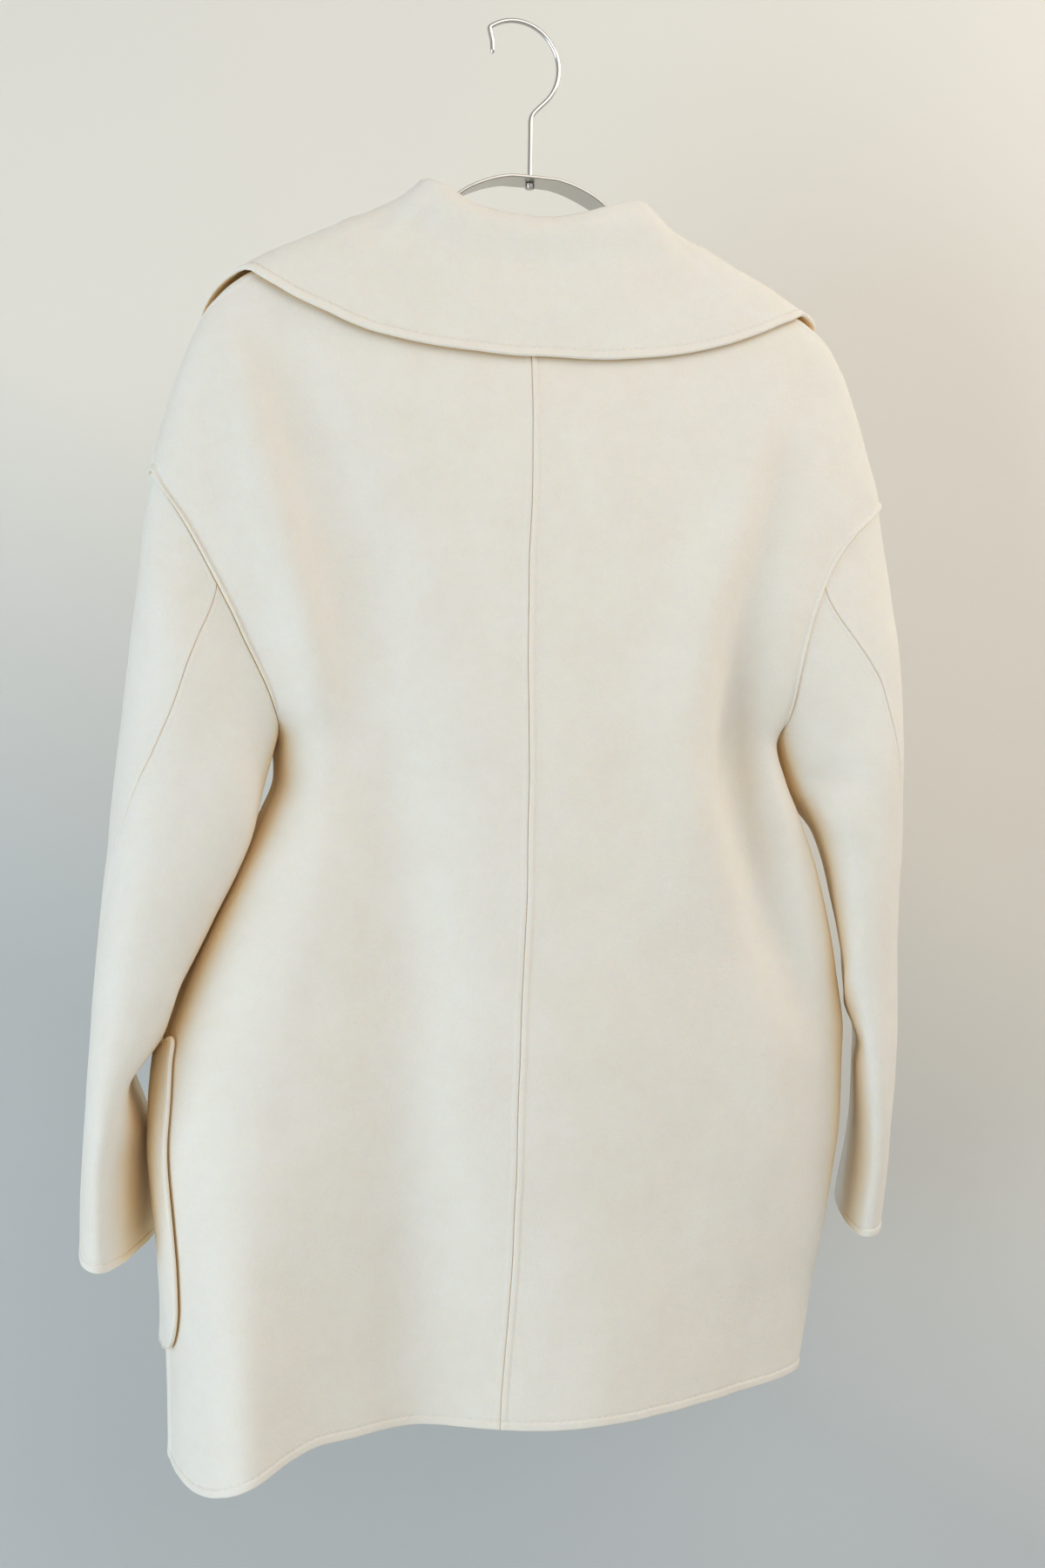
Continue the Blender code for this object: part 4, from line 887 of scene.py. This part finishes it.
def with_edge_lines(grid, values):
    """Moves the points along each row, so that lines run close together beside both of its edges."""
    near = np.array(EDGE_LINES)
    count = grid.shape[1] - 1
    points, carried = [], []
    for line, data in zip(grid, values):
        along = length_along(line)
        length = along[-1]
        ends = near * np.clip(SHORT_ROW * length / near[-1], LEAST_SPACE, 1.0)
        middle = np.linspace(ends[-1], length - ends[-1], count)[1:-1]
        at = np.concatenate([ends, middle, length - ends[::-1]])
        points.append(curve_at(line, along, at))
        carried.append(at_distance(data, along, at))
    return np.array(points), np.array(carried)


def edge_distances(grid):
    """Distance of each point from the first and the last column, along its row."""
    steps = np.linalg.norm(np.diff(grid, axis=1), axis=-1)
    along = np.concatenate([np.zeros((len(grid), 1)), np.cumsum(steps, axis=1)], axis=1)
    return along + EDGE_LINES[0], along[:, -1:] - along + EDGE_LINES[0]


def round_over(distance, radius):
    """How far a rounded edge falls off, from its radius at the edge to nothing."""
    inside = np.clip(distance / radius, 0.0, 1.0)
    return radius * (1.0 - np.sqrt(np.clip(1.0 - (1.0 - inside) ** 2, 0.0, 1.0)))


def turned_edge(distance):
    """Beside a turned edge: how far the outer face is raised and lowered, and the inner one sunk."""
    at, depth, width = BAND_GROOVE
    band = EDGE_RISE * (1.0 - smooth_step((distance - EDGE_WIDTH) / EDGE_SLOPE))
    groove = depth * np.exp(-(((distance - at) / width) ** 2))
    fall = round_over(distance, ROUNDING)
    return band, groove + fall * (CLOTH / 2 + EDGE_RISE) / ROUNDING, fall * CLOTH / (2 * ROUNDING)


def pressed_seam(distance, share):
    """The same beside a seam, raised by a share of its welt."""
    depth, width = SEAM_GROOVE
    welt = share * WELT_RISE * (1.0 - smooth_step((distance - WELT_WIDTH) / WELT_SLOPE))
    groove = depth * np.exp(-((distance / width) ** 2))
    return welt, groove, INNER_GROOVE * groove


def plain_edge(distance):
    return (np.zeros(distance.shape),) * 3


def high_seam(distance):
    return pressed_seam(distance, 1.0)


def low_seam(distance):
    return pressed_seam(distance, LOW_SHARE)


def in_line(closeness):
    """How nearly two pieces lie in line, from 0, where they turn back on each other, to 1."""
    return smooth_step((closeness + FOLD_BACK) / FOLD_RUN)


def fine_wall(piece):
    """Outer and inner points of a cloth wall with pressed seams and turned edges, and edge lines."""
    grid, keep = piece["grid"], in_line(piece["closeness"])
    rows, columns = grid.shape[:2]
    keeps = [
        np.broadcast_to((keep[0] * piece["top_keeps"])[None, :], (rows, columns)),
        np.ones((rows, columns)),
        np.broadcast_to(keep[:, :1], (rows, columns)),
        np.broadcast_to(keep[:, -1:] * piece["last_keeps"][:, None], (rows, columns)),
    ]
    values = np.concatenate([piece["joined"], np.stack(keeps, axis=-1)], axis=-1)
    grid, values = with_edge_lines(grid, values)
    grid, values = with_edge_lines(grid.swapaxes(0, 1), values.swapaxes(0, 1))
    grid, values = grid.swapaxes(0, 1), values.swapaxes(0, 1)
    first, last = edge_distances(grid)
    top, bottom = (d.T for d in edge_distances(grid.swapaxes(0, 1)))
    out = unit(values[..., :3])
    rise, fall, sink = np.zeros(top.shape), np.zeros(top.shape), np.zeros(top.shape)
    turned = np.full((4,) + top.shape, FAR)
    for i, distance in enumerate((top, bottom, first, last)):
        raised, lowered, sunk = piece["profiles"][i](distance)
        kept = values[..., 3 + i]
        rise = np.maximum(rise, raised * kept)
        fall = np.maximum(fall, lowered * np.clip(kept, *GROOVE_KEEPS))
        sink = np.maximum(sink, sunk)
        if piece["profiles"][i] is turned_edge:
            turned[i] = distance
    run = np.where(turned[:2].min(axis=0) < turned[2:].min(axis=0), first, top)
    outer = grid + out * (rise - fall)[..., None]
    return outer, grid - out * (CLOTH - sink)[..., None], turned.min(axis=0), run


def wall_faces(rows, columns, turn):
    """Quads of a closed wall between an outer and an inner grid; turn is -1 to face them about."""
    index = np.arange(rows * columns).reshape(rows, columns)
    inner = index + rows * columns
    a, b, c, d = index[:-1, :-1], index[:-1, 1:], index[1:, 1:], index[1:, :-1]
    outer_quads = np.stack([a, b, c, d], axis=-1).reshape(-1, 4)
    a, b, c, d = inner[:-1, :-1], inner[1:, :-1], inner[1:, 1:], inner[:-1, 1:]
    inner_quads = np.stack([a, b, c, d], axis=-1).reshape(-1, 4)
    rim = np.concatenate([index[0], index[1:, -1], index[-1, -2::-1], index[-2:0:-1, 0]])
    after = np.roll(rim, -1)
    rim_quads = np.stack([rim, rim + rows * columns, after + rows * columns, after], axis=-1)
    return np.concatenate([outer_quads, inner_quads, rim_quads])[:, ::turn].tolist()


def grid_at(grid, rows, columns):
    """Points of a grid at places between its lines: one list of rows, and columns for each row."""
    out = []
    for row, across in zip(rows, columns):
        low = min(int(row), len(grid) - 2)
        line = grid[low] + (grid[low + 1] - grid[low]) * (row - low)
        out.append(at_distance(line, np.arange(len(line)), np.asarray(across)))
    return np.array(out)


def pocket_edges(side, down, inset=0.0):
    """Where the pocket starts and ends round the side seam, by the share of its height."""
    behind = smooth_curve(*zip(*POCKET_BEHIND[side]), down)
    return inset - behind, POCKET_AHEAD[side] - inset


def pocket(side, back, front):
    """A patch that follows the body's own points round the side seam."""
    band = np.concatenate([back["grid"], front["grid"][:, -2::-1]], axis=1)
    normals = np.concatenate([back["joined"], front["joined"][:, -2::-1]], axis=1)
    seam = back["grid"].shape[1] - 1
    heights = -back["form"][:, seam, 2]
    top, bottom = np.interp([-POCKET_TOP, -POCKET_BOTTOM], heights, np.arange(len(band)))
    tall = POCKET_TOP - POCKET_BOTTOM
    angles = np.linspace(0.0, math.pi / 2.0, CORNER_ROWS + 1)
    corner = POCKET_CORNER * (1.0 - np.cos(angles))
    middle = np.linspace(POCKET_CORNER, tall - POCKET_CORNER, POCKET_ROWS + 1)[1:-1]
    downs = np.concatenate([corner, middle, tall - corner[::-1]])
    across = length_along(band[int((top + bottom) / 2)])
    rows, columns = top + downs * (bottom - top) / tall, []
    for down in downs:
        left = max(0.0, POCKET_CORNER - min(down, tall - down))
        inset = POCKET_CORNER - math.sqrt(max(0.0, POCKET_CORNER**2 - left**2))
        at = across[seam] + np.linspace(*pocket_edges(side, down / tall, inset), POCKET_COLUMNS + 1)
        columns.append(np.interp(at, across, np.arange(len(across))))
    bow = np.sin(np.linspace(0.0, math.pi, POCKET_COLUMNS + 1))
    gape = POCKET_GAPE * np.exp(-downs / GAPE_DEPTH)[:, None] * bow
    off = (POCKET_OFF[side] + CLOTH + gape)[..., None]
    return grid_at(band, rows, columns) + unit(grid_at(normals, rows, columns)) * off


def grid_normals(grid, turn):
    """Directions out of a grid of points; turn is -1 where its columns run the other way."""
    a, b, c, d = grid[:-1, :-1], grid[:-1, 1:], grid[1:, 1:], grid[1:, :-1]
    cell, total = np.cross(c - a, d - b), np.zeros(grid.shape)
    total[:-1, :-1] += cell
    total[:-1, 1:] += cell
    total[1:, 1:] += cell
    total[1:, :-1] += cell
    return unit(turn * total)


def point_key(point):
    return tuple(float(v) + 0.0 for v in np.round(point, 3))


def share_normals(pieces):
    """Gives sewn pieces one direction at the points they share, where they lie nearly in line."""
    found = {}
    for name, piece in pieces.items():
        rows, columns = piece["form"].shape[:2]
        ends = {0: range(columns), rows - 1: range(columns)}
        piece["edge"] = [(r, c) for r in range(rows) for c in ends.get(r, (0, columns - 1))]
        for r, c in piece["edge"]:
            found.setdefault(point_key(piece["form"][r, c]), {})[name] = piece["normals"][r, c]
    for name, piece in pieces.items():
        closeness, joined = np.ones(piece["form"].shape[:2]), piece["normals"].copy()
        for r, c in piece["edge"]:
            rest = [v for key, v in found[point_key(piece["form"][r, c])].items() if key != name]
            if rest:
                own = piece["normals"][r, c]
                angles = [float(own @ v) for v in rest]  # as cosines
                closeness[r, c] = min(angles)
                joined[r, c] = unit(own + sum(in_line(angle) * v for angle, v in zip(angles, rest)))
        piece["closeness"], piece["joined"] = closeness, joined


def on_shoulder(grid):
    """1 for the columns whose top is in the shoulder seam, 0 for those whose top is in the neckline."""
    columns = grid.shape[1]
    return (np.arange(columns) >= columns - 1 - SHOULDER_CELLS) * 1.0


def armhole_ridge(rows):
    """How many times higher the welt stands, for the rows down the armhole and then the side seam."""
    above = (ARMHOLE_CELLS - np.arange(rows)) / (RIDGE_END * ARMHOLE_CELLS)
    return 1.0 + (ARMHOLE_RIDGE - 1.0) * smooth_step(above)


def body_creases(grid, front):
    """The creases' rise on the back or front, faded out near the side seams and the armholes."""
    x, z = grid[..., 0] - COAT_CENTRE, grid[..., 2]
    half = np.where(x >= 0, body_size("left", z), body_size("right", z))
    inside = np.clip(1.0 - (x / half) ** 2, 0.0, 1.0)
    creases = FRONT_CREASES if front else BACK_CREASES
    return crease_rise(creases, x, z) * (1.0 - (1.0 - inside) ** FOLD_FADE)


def sleeve_creases(side, grid, places):
    """The creases' rise on a sleeve; a crease also counts from the turns before and after its own."""
    total = 0.0
    for turn in (-360.0, 0.0, 360.0):
        around = places * 360.0 + turn
        total = total + crease_rise(SLEEVE_CREASES[side], around, grid[..., 2], (ROUND_LENGTH, 1.0))
    return total


def cloth_pieces():
    """Each sewn piece's creased outer face, and its edges' profiles: top, bottom, first and last."""
    pieces = {}

    def add(name, grid, turn, profiles, rise, top_keeps=1.0, last_keeps=1.0):
        pieces[name] = {
            "form": grid,
            "normals": grid_normals(grid, turn),
            "turn": turn,
            "profiles": profiles,
            "rise": rise,
            "top_keeps": np.broadcast_to(top_keeps, grid.shape[1]),
            "last_keeps": np.broadcast_to(last_keeps, len(grid)),
        }

    for side, word in SIDES:
        back = panel(side, False)
        front = panel(side, True, back)
        centre = low_seam if side > 0 else high_seam
        backs = (high_seam, turned_edge, centre, high_seam)
        fronts = (low_seam, turned_edge, turned_edge, high_seam)
        ridge = armhole_ridge(len(back))
        add(f"back_{word}", back, side, backs, body_creases(back, False), on_shoulder(back), ridge)
        add(f"front_{word}", front, -side, fronts, body_creases(front, True), on_shoulder(front), ridge)
        for part, (grid, places) in sleeve(side, back, front).items():
            seams = (low_seam, turned_edge, high_seam if part == "top" else low_seam, low_seam)
            add(f"sleeve_{word}_{part}", grid, -side, seams, sleeve_creases(side, grid, places))
    share_normals(pieces)
    for piece in pieces.values():
        rise = piece["rise"] * in_line(piece["closeness"])
        piece["grid"] = piece["form"] + piece["joined"] * rise[..., None]
        piece["grid"] = piece["grid"] + unevenness(piece["form"])
        piece["normals"] = grid_normals(piece["grid"], piece["turn"])
    share_normals(pieces)
    loose = {}
    for side, word in SIDES:
        grid = pocket(side, pieces[f"back_{word}"], pieces[f"front_{word}"])
        loose[f"pocket_{word}"] = {"grid": grid, "turn": side, "profiles": (turned_edge,) * 4}
    grid, rise = collar(pieces)
    grid = grid + grid_normals(grid, 1) * rise[..., None] + unevenness(grid)
    edges = (plain_edge,) + (turned_edge,) * 3
    loose["collar"] = {"grid": grid, "turn": 1, "profiles": edges}
    for piece in loose.values():
        piece["joined"] = grid_normals(piece["grid"], piece["turn"])
        piece["closeness"] = np.ones(piece["grid"].shape[:2])
        piece["top_keeps"] = np.ones(piece["grid"].shape[1])
        piece["last_keeps"] = np.ones(len(piece["grid"]))
    return {**pieces, **loose}


def link(name, points, faces, material):
    """A smooth mesh in the scene, from points in millimetres."""
    mesh = bpy.data.meshes.new(name)
    mesh.from_pydata((np.asarray(points) * MM).tolist(), [], faces)
    mesh.materials.append(material)
    mesh.shade_smooth()
    item = bpy.data.objects.new(name, mesh)
    bpy.context.scene.collection.objects.link(item)
    return item


def add_cloth(name, piece, material):
    """Adds a sewn piece's cloth, with each point's distance from and along a turned edge."""
    outer, inner, edge, run = fine_wall(piece)
    rows, columns = outer.shape[:2]
    points = np.concatenate([outer.reshape(-1, 3), inner.reshape(-1, 3)])
    item = link(f"{name}_cloth", points, wall_faces(rows, columns, piece["turn"]), material)
    for title, values in (("edge", edge), ("run", run)):
        layer = item.data.attributes.new(title, "FLOAT", "POINT")
        layer.data.foreach_set("value", np.tile(values.ravel(), 2).astype(np.float32))
    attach(item, "root")
    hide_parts(name)


class Shader:
    """A Principled material whose nodes are added and joined by name."""

    def __init__(self, name):
        self.material = bpy.data.materials.new(name)
        self.material.use_nodes = True
        self.tree = self.material.node_tree
        self.main = self.tree.nodes["Principled BSDF"]

    def node(self, kind, inputs=None, **settings):
        made = self.tree.nodes.new(kind)
        for key, value in settings.items():
            setattr(made, key, value)
        for key, value in (inputs or {}).items():
            if isinstance(value, bpy.types.NodeSocket):
                self.tree.links.new(value, made.inputs[key])
            else:
                made.inputs[key].default_value = value
        return made

    def math(self, operation, first, second=0.0):
        return self.node("ShaderNodeMath", {0: first, 1: second}, operation=operation).outputs[0]

    def mixed(self, *parts):
        """The sum of values, each times its share."""
        made = [self.math("MULTIPLY", value, share) for value, share in parts]
        total = made[0]
        for part in made[1:]:
            total = self.math("ADD", total, part)
        return total

    def noise(self, place, scale, detail=2.0, rough=0.5):
        inputs = {"Vector": place, "Scale": scale, "Detail": detail, "Roughness": rough}
        return self.node("ShaderNodeTexNoise", inputs).outputs["Fac"]

    def scaled(self, place, scale):
        return self.node("ShaderNodeMapping", {"Vector": place, "Scale": scale}).outputs[0]

    def bump(self, height, distance, strength=1.0, normal=None):
        inputs = {"Height": height, "Distance": distance, "Strength": strength}
        if normal is not None:
            inputs["Normal"] = normal
        return self.node("ShaderNodeBump", inputs).outputs[0]

    def ramp(self, tone, stops):
        """A colour by its tone, from places and colours in order."""
        made = self.node("ShaderNodeValToRGB", {"Fac": tone})
        elements = made.color_ramp.elements
        elements[0].position, elements[1].position = stops[0][0], stops[-1][0]
        for place, _ in stops[1:-1]:
            elements.new(place)
        for element, (_, colour) in zip(elements, stops):
            element.color = (*colour, 1.0)
        return made.outputs["Color"]

    def set(self, **values):
        for name, value in values.items():
            self.main.inputs[name.replace("_", " ")].default_value = value

    def feed(self, name, socket):
        self.tree.links.new(socket, self.main.inputs[name])


def make_wool():
    """Felted wool: short nap brushed downward, soft mottling and small sewn dimples beside the edges.

    Its tone is painted warm shade where nearby cloth closes off the sky, which goes by the form alone.
    """
    wool = Shader("felted_wool")
    place = wool.node("ShaderNodeTexCoord").outputs["Object"]
    fibre = wool.noise(wool.scaled(place, FIBRE_STRETCH), *FIBRE)
    felt = wool.noise(place, *FELT)
    mottle, cloud = wool.noise(place, *MOTTLE), wool.noise(place, *CLOUD)
    tone = wool.mixed((mottle, MOTTLE_SHARE), (cloud, CLOUD_SHARE), (fibre, FIBRE_SHARE))
    # Painted warm shade: where cloth closes off the sky, the tone drops to the warm crevice colour
    reach = {"Distance": SHADE_PAINT_REACH}
    occlusion = wool.node("ShaderNodeAmbientOcclusion", reach, samples=SHADE_PAINT_SAMPLES)
    closed = wool.math("SUBTRACT", SHADE_PAINT_FROM, occlusion.outputs["AO"])
    spread, start = TONE_SPREAD
    tone = wool.math("ADD", wool.math("MULTIPLY", tone, spread), start)
    tone = wool.math("SUBTRACT", tone, wool.math("MAXIMUM", closed, 0.0))
    wool.feed("Base Color", wool.ramp(tone, WOOL_AND_SHADE_TONES))
    edge = wool.node("ShaderNodeAttribute", attribute_name="edge").outputs["Fac"]
    run = wool.node("ShaderNodeAttribute", attribute_name="run").outputs["Fac"]
    beside = wool.math("DIVIDE", wool.math("SUBTRACT", edge, BAND_GROOVE[0]), STITCH_WIDTH)
    beside = wool.math("EXPONENT", wool.math("MULTIPLY", wool.math("MULTIPLY", beside, beside), -1.0))
    wave = wool.math("SINE", wool.math("MULTIPLY", run, 2.0 * math.pi / STITCH))
    dimple = wool.math("MULTIPLY", beside, wool.math("ADD", wave, 1.0))
    normal = wool.bump(felt, *FELT_RELIEF)
    normal = wool.bump(fibre, *FIBRE_RELIEF, normal)
    wool.feed("Normal", wool.bump(wool.math("MULTIPLY", dimple, STITCH_DEPTH), *STITCH_RELIEF, normal))
    wool.set(Roughness=0.95, Sheen_Weight=0.2, Sheen_Roughness=0.45, Specular_IOR_Level=0.2)
    wool.set(Subsurface_Weight=0.25, Subsurface_Radius=LIGHT_THROUGH, Subsurface_Scale=LIGHT_DEPTH)
    wool.set(Sheen_Tint=(*SHEEN_TINT, 1.0))
    return wool.material


def make_steel(name, colour, roughness, scratches):
    """Steel with fine scratches and a light haze; both together leave its mean roughness as given."""
    steel = Shader(name)
    place = steel.node("ShaderNodeTexCoord").outputs["Object"]
    lines = steel.noise(steel.scaled(place, scratches), *SCRATCHES)
    varied = steel.mixed((lines, SCRATCH_SHARE), (steel.noise(place, *HAZE), HAZE_SHARE))
    least = roughness - (SCRATCH_SHARE + HAZE_SHARE) / 2.0
    steel.feed("Roughness", steel.math("ADD", varied, least))
    steel.feed("Normal", steel.bump(lines, *SCRATCH_RELIEF))
    steel.set(Base_Color=(*colour, 1.0), Metallic=1.0)
    return steel.material


def sweep(name, path, section, material):
    """A closed bar for a node, along points in the hanger's plane.

    For each point, section gives the ring's offsets across the bar and along Y.
    """
    path, rings = np.asarray(path, float), []
    heading = unit(np.gradient(path, axis=0))
    for i, (x, z) in enumerate(path):
        normal = (-heading[i, 1], heading[i, 0])
        rings += [(x + normal[0] * a, y, z + normal[1] * a) for a, y in section(i)]
    sides, faces = len(section(0)), []
    end = (len(path) - 1) * sides
    for start in range(0, end, sides):
        for j in range(sides):
            k = (j + 1) % sides
            faces.append((start + j, start + k, start + sides + k, start + sides + j))
    caps = [list(range(sides))[::-1], [end + j for j in range(sides)]]
    item = link(f"{name}_fine", rings, faces + caps, material)
    item.data.set_sharp_from_angle(angle=math.radians(SHARP))
    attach(item, "root")
    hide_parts(name)
    return item


def round_section(radius, sides):
    """Offsets of a ring, turned so that the bar's faces look outward."""
    angles = [-2.0 * math.pi * (j + 0.5) / sides for j in range(sides)]
    return [(radius * math.cos(a), radius * math.sin(a)) for a in angles]


def hook_path():
    """From the tip over the top and down to the stem's foot, as X and Z of the rod's middle."""
    cx, cz = HOOK_CENTRE
    path = list(HOOK_TIP)
    first, last = np.radians(HOOK_ARC)
    for angle in np.linspace(first, last, ARC_STEPS)[1:]:
        path.append((cx + HOOK_RADIUS * math.cos(angle), cz + HOOK_RADIUS * math.sin(angle)))
    path += [*HOOK_NECK, (STEM_X, STEM[0])]
    path += [(STEM_X, z) for z in np.linspace(STEM[1], STEM_END, STEM_POINTS)]
    points = np.array(path)
    along = length_along(points)
    return curve_at(points, along, np.linspace(0.0, along[-1], HOOK_RINGS))


def add_hanger():
    """The bent rod, the strip under the shoulders and the screw head under that."""
    bright = make_steel("bright_steel", *BRIGHT)
    satin = make_steel("satin_steel", *SATIN)

    def rod(i):
        short = 1.0 - min(1.0, i * TIP_STEP / TIP_LENGTH)
        return round_section(ROD / 2.0 * math.sqrt(max(TIP_LEAST, 1.0 - short**2)), ROD_SIDES)

    sweep("hanger_hook", hook_path(), rod, bright)
    out = np.linspace(-STRIP[-1][0], STRIP[-1][0], STRIP_STEPS + 1)
    z = column(STRIP, STRIP_COLUMNS, "z", np.abs(out))
    width = column(STRIP, STRIP_COLUMNS, "half_width", np.abs(out))
    half, bevel = STRIP_THICKNESS / 2.0, STRIP_BEVEL

    def strip(i):
        w = width[i]
        right = [(-half, w - bevel), (-half + bevel, w), (half - bevel, w), (half, w - bevel)]
        left = [(half, bevel - w), (half - bevel, -w), (-half + bevel, -w), (-half, bevel - w)]
        return right + left

    path = np.stack([STEM_X + out, z], axis=-1)
    sweep("hanger_bar", path, strip, satin)

    def screw(i):
        return round_section(SCREW_RINGS[i][0], SCREW_SIDES)

    top = STRIP[0][1] - half - SCREW_GAP
    path = [(STEM_X, top - down) for _, down in SCREW_RINGS]
    sweep("hanger_screw", path, screw, satin)


def camera_frame():
    """The camera's place and its right, up and forward directions."""
    turn, pitch = math.radians(CAMERA_AZIMUTH), math.atan((HALF_TALL - HORIZON) / FOCAL)
    level = math.cos(pitch)
    forward = np.array([-math.sin(turn) * level, math.cos(turn) * level, -math.sin(pitch)])
    right = unit(np.cross(forward, [0.0, 0.0, 1.0]))
    up = np.cross(right, forward)
    sine, cosine = math.sin(math.radians(CAMERA_ROLL)), math.cos(math.radians(CAMERA_ROLL))
    right, up = cosine * right + sine * up, cosine * up - sine * right
    x, y = FOOT_SEEN_AT
    ray = forward + (x - HALF_WIDE) / FOCAL * right - (y - HALF_TALL) / FOCAL * up
    place = np.array(STEM_FOOT) - ray * CAMERA_AWAY / np.linalg.norm(ray[:2])
    return place, right, up, forward


def placed(right, up, back, at):
    """The matrix of a camera or light with these directions, at a place in metres."""
    return Matrix(np.vstack([np.stack([right, up, back, at], axis=1), [0.0, 0.0, 0.0, 1.0]]).tolist())


def add_camera():
    place, right, up, forward = camera_frame()
    camera = bpy.data.cameras.new("camera")
    camera.sensor_width, camera.sensor_fit = SENSOR, "AUTO"
    camera.lens = FOCAL * SENSOR / (2.0 * HALF_TALL)
    camera.clip_start, camera.clip_end = CLIP
    item = bpy.data.objects.new("camera", camera)
    item.matrix_world = placed(right, up, -forward, place * MM)
    bpy.context.scene.collection.objects.link(item)
    bpy.context.scene.camera = item


def from_camera(across, up, away):
    """A place in metres: right of the coat's middle as seen, above it, and towards the camera."""
    _, right, _, forward = camera_frame()
    level, ahead = unit(right * [1, 1, 0]), unit(forward * [1, 1, 0])
    return np.array(COAT_MIDDLE) * MM + across * level - away * ahead + np.array([0.0, 0.0, up])


def add_light(name, at, towards, size, power, colour):
    """A rectangle of light at one place in metres, turned towards another."""
    light = bpy.data.lights.new(name, "AREA")
    light.shape, light.size, light.size_y = "RECTANGLE", *size
    light.energy, light.color = power, colour
    item = bpy.data.objects.new(name, light)
    back = unit(np.asarray(at) - np.asarray(towards))
    side = unit(np.cross([0.0, 0.0, 1.0], back))
    up = np.cross(back, side)
    item.matrix_world = placed(side, up, back, at)
    bpy.context.scene.collection.objects.link(item)


def add_lights():
    middle = np.array(COAT_MIDDLE) * MM
    for name, (place, size, power, colour) in LIGHTS.items():
        add_light(name, from_camera(*place), middle, size, power, colour)
    world = bpy.data.worlds.new("studio")
    world.use_nodes = True
    background = world.node_tree.nodes["Background"]
    background.inputs["Color"].default_value = (*WORLD_COLOUR, 1.0)
    background.inputs["Strength"].default_value = WORLD_STRENGTH
    bpy.context.scene.world = world


def add_backdrop():
    """A floor that sweeps up into a wall behind the coat; the wall isn't seen from its far side."""
    foot = WALL_AWAY - BEND
    profile = [(-FLOOR_REACH, FLOOR), (foot, FLOOR)]
    for angle in np.linspace(0.0, math.pi / 2.0, BEND_STEPS)[1:]:
        profile.append((foot + BEND * math.sin(angle), FLOOR + BEND * (1.0 - math.cos(angle))))
    profile.append((WALL_AWAY, WALL_TOP))
    points = []
    for away, height in profile:
        for across in (-PAPER_HALF, PAPER_HALF):
            spot = from_camera(across, 0.0, -away)
            points.append((spot[0] / MM, spot[1] / MM, height / MM))
    faces = [(a, a + 1, a + 3, a + 2) for a in range(0, len(points) - 2, 2)]
    paper = Shader("backdrop_paper")
    place = paper.node("ShaderNodeTexCoord").outputs["Object"]
    # Painted shade low down and to the left, painted light higher up and to the right
    low, tall, aslant = PAPER_SHADE_CHANGE
    direction = unit(camera_frame()[1] * [1, 1, 0]) * aslant + np.array([0.0, 0.0, 1.0])
    along = {0: place, 1: tuple(direction / tall)}
    dot = paper.node("ShaderNodeVectorMath", along, operation="DOT_PRODUCT")
    tone = paper.math("ADD", dot.outputs["Value"], -low / tall)
    paper.feed("Base Color", paper.ramp(tone, ((0.0, PAPER_SHADED), (1.0, PAPER_LIT))))
    paper.feed("Normal", paper.bump(paper.noise(place, *PAPER_GRAIN), *PAPER_RELIEF))
    paper.set(Roughness=0.9, Specular_IOR_Level=0.1)
    tree = paper.tree
    output = next(n for n in tree.nodes if n.type == "OUTPUT_MATERIAL")
    behind = paper.node("ShaderNodeNewGeometry").outputs["Backfacing"]
    clear = paper.node("ShaderNodeBsdfTransparent").outputs[0]
    mix = paper.node("ShaderNodeMixShader", {0: behind, 1: paper.main.outputs[0], 2: clear}).outputs[0]
    tree.links.new(mix, output.inputs["Surface"])
    link("backdrop", points, faces, paper.material)


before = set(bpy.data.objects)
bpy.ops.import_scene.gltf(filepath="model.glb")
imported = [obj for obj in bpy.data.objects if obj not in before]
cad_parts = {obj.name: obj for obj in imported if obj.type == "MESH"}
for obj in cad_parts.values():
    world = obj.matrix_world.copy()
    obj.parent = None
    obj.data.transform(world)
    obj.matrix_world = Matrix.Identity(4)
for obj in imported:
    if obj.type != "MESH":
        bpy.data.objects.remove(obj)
bpy.context.scene.view_settings.view_transform = "Standard"
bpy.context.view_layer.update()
felt = make_wool()
for piece_name, sewn in cloth_pieces().items():
    add_cloth(piece_name, sewn, felt)
add_hanger()
add_camera()
add_lights()
add_backdrop()
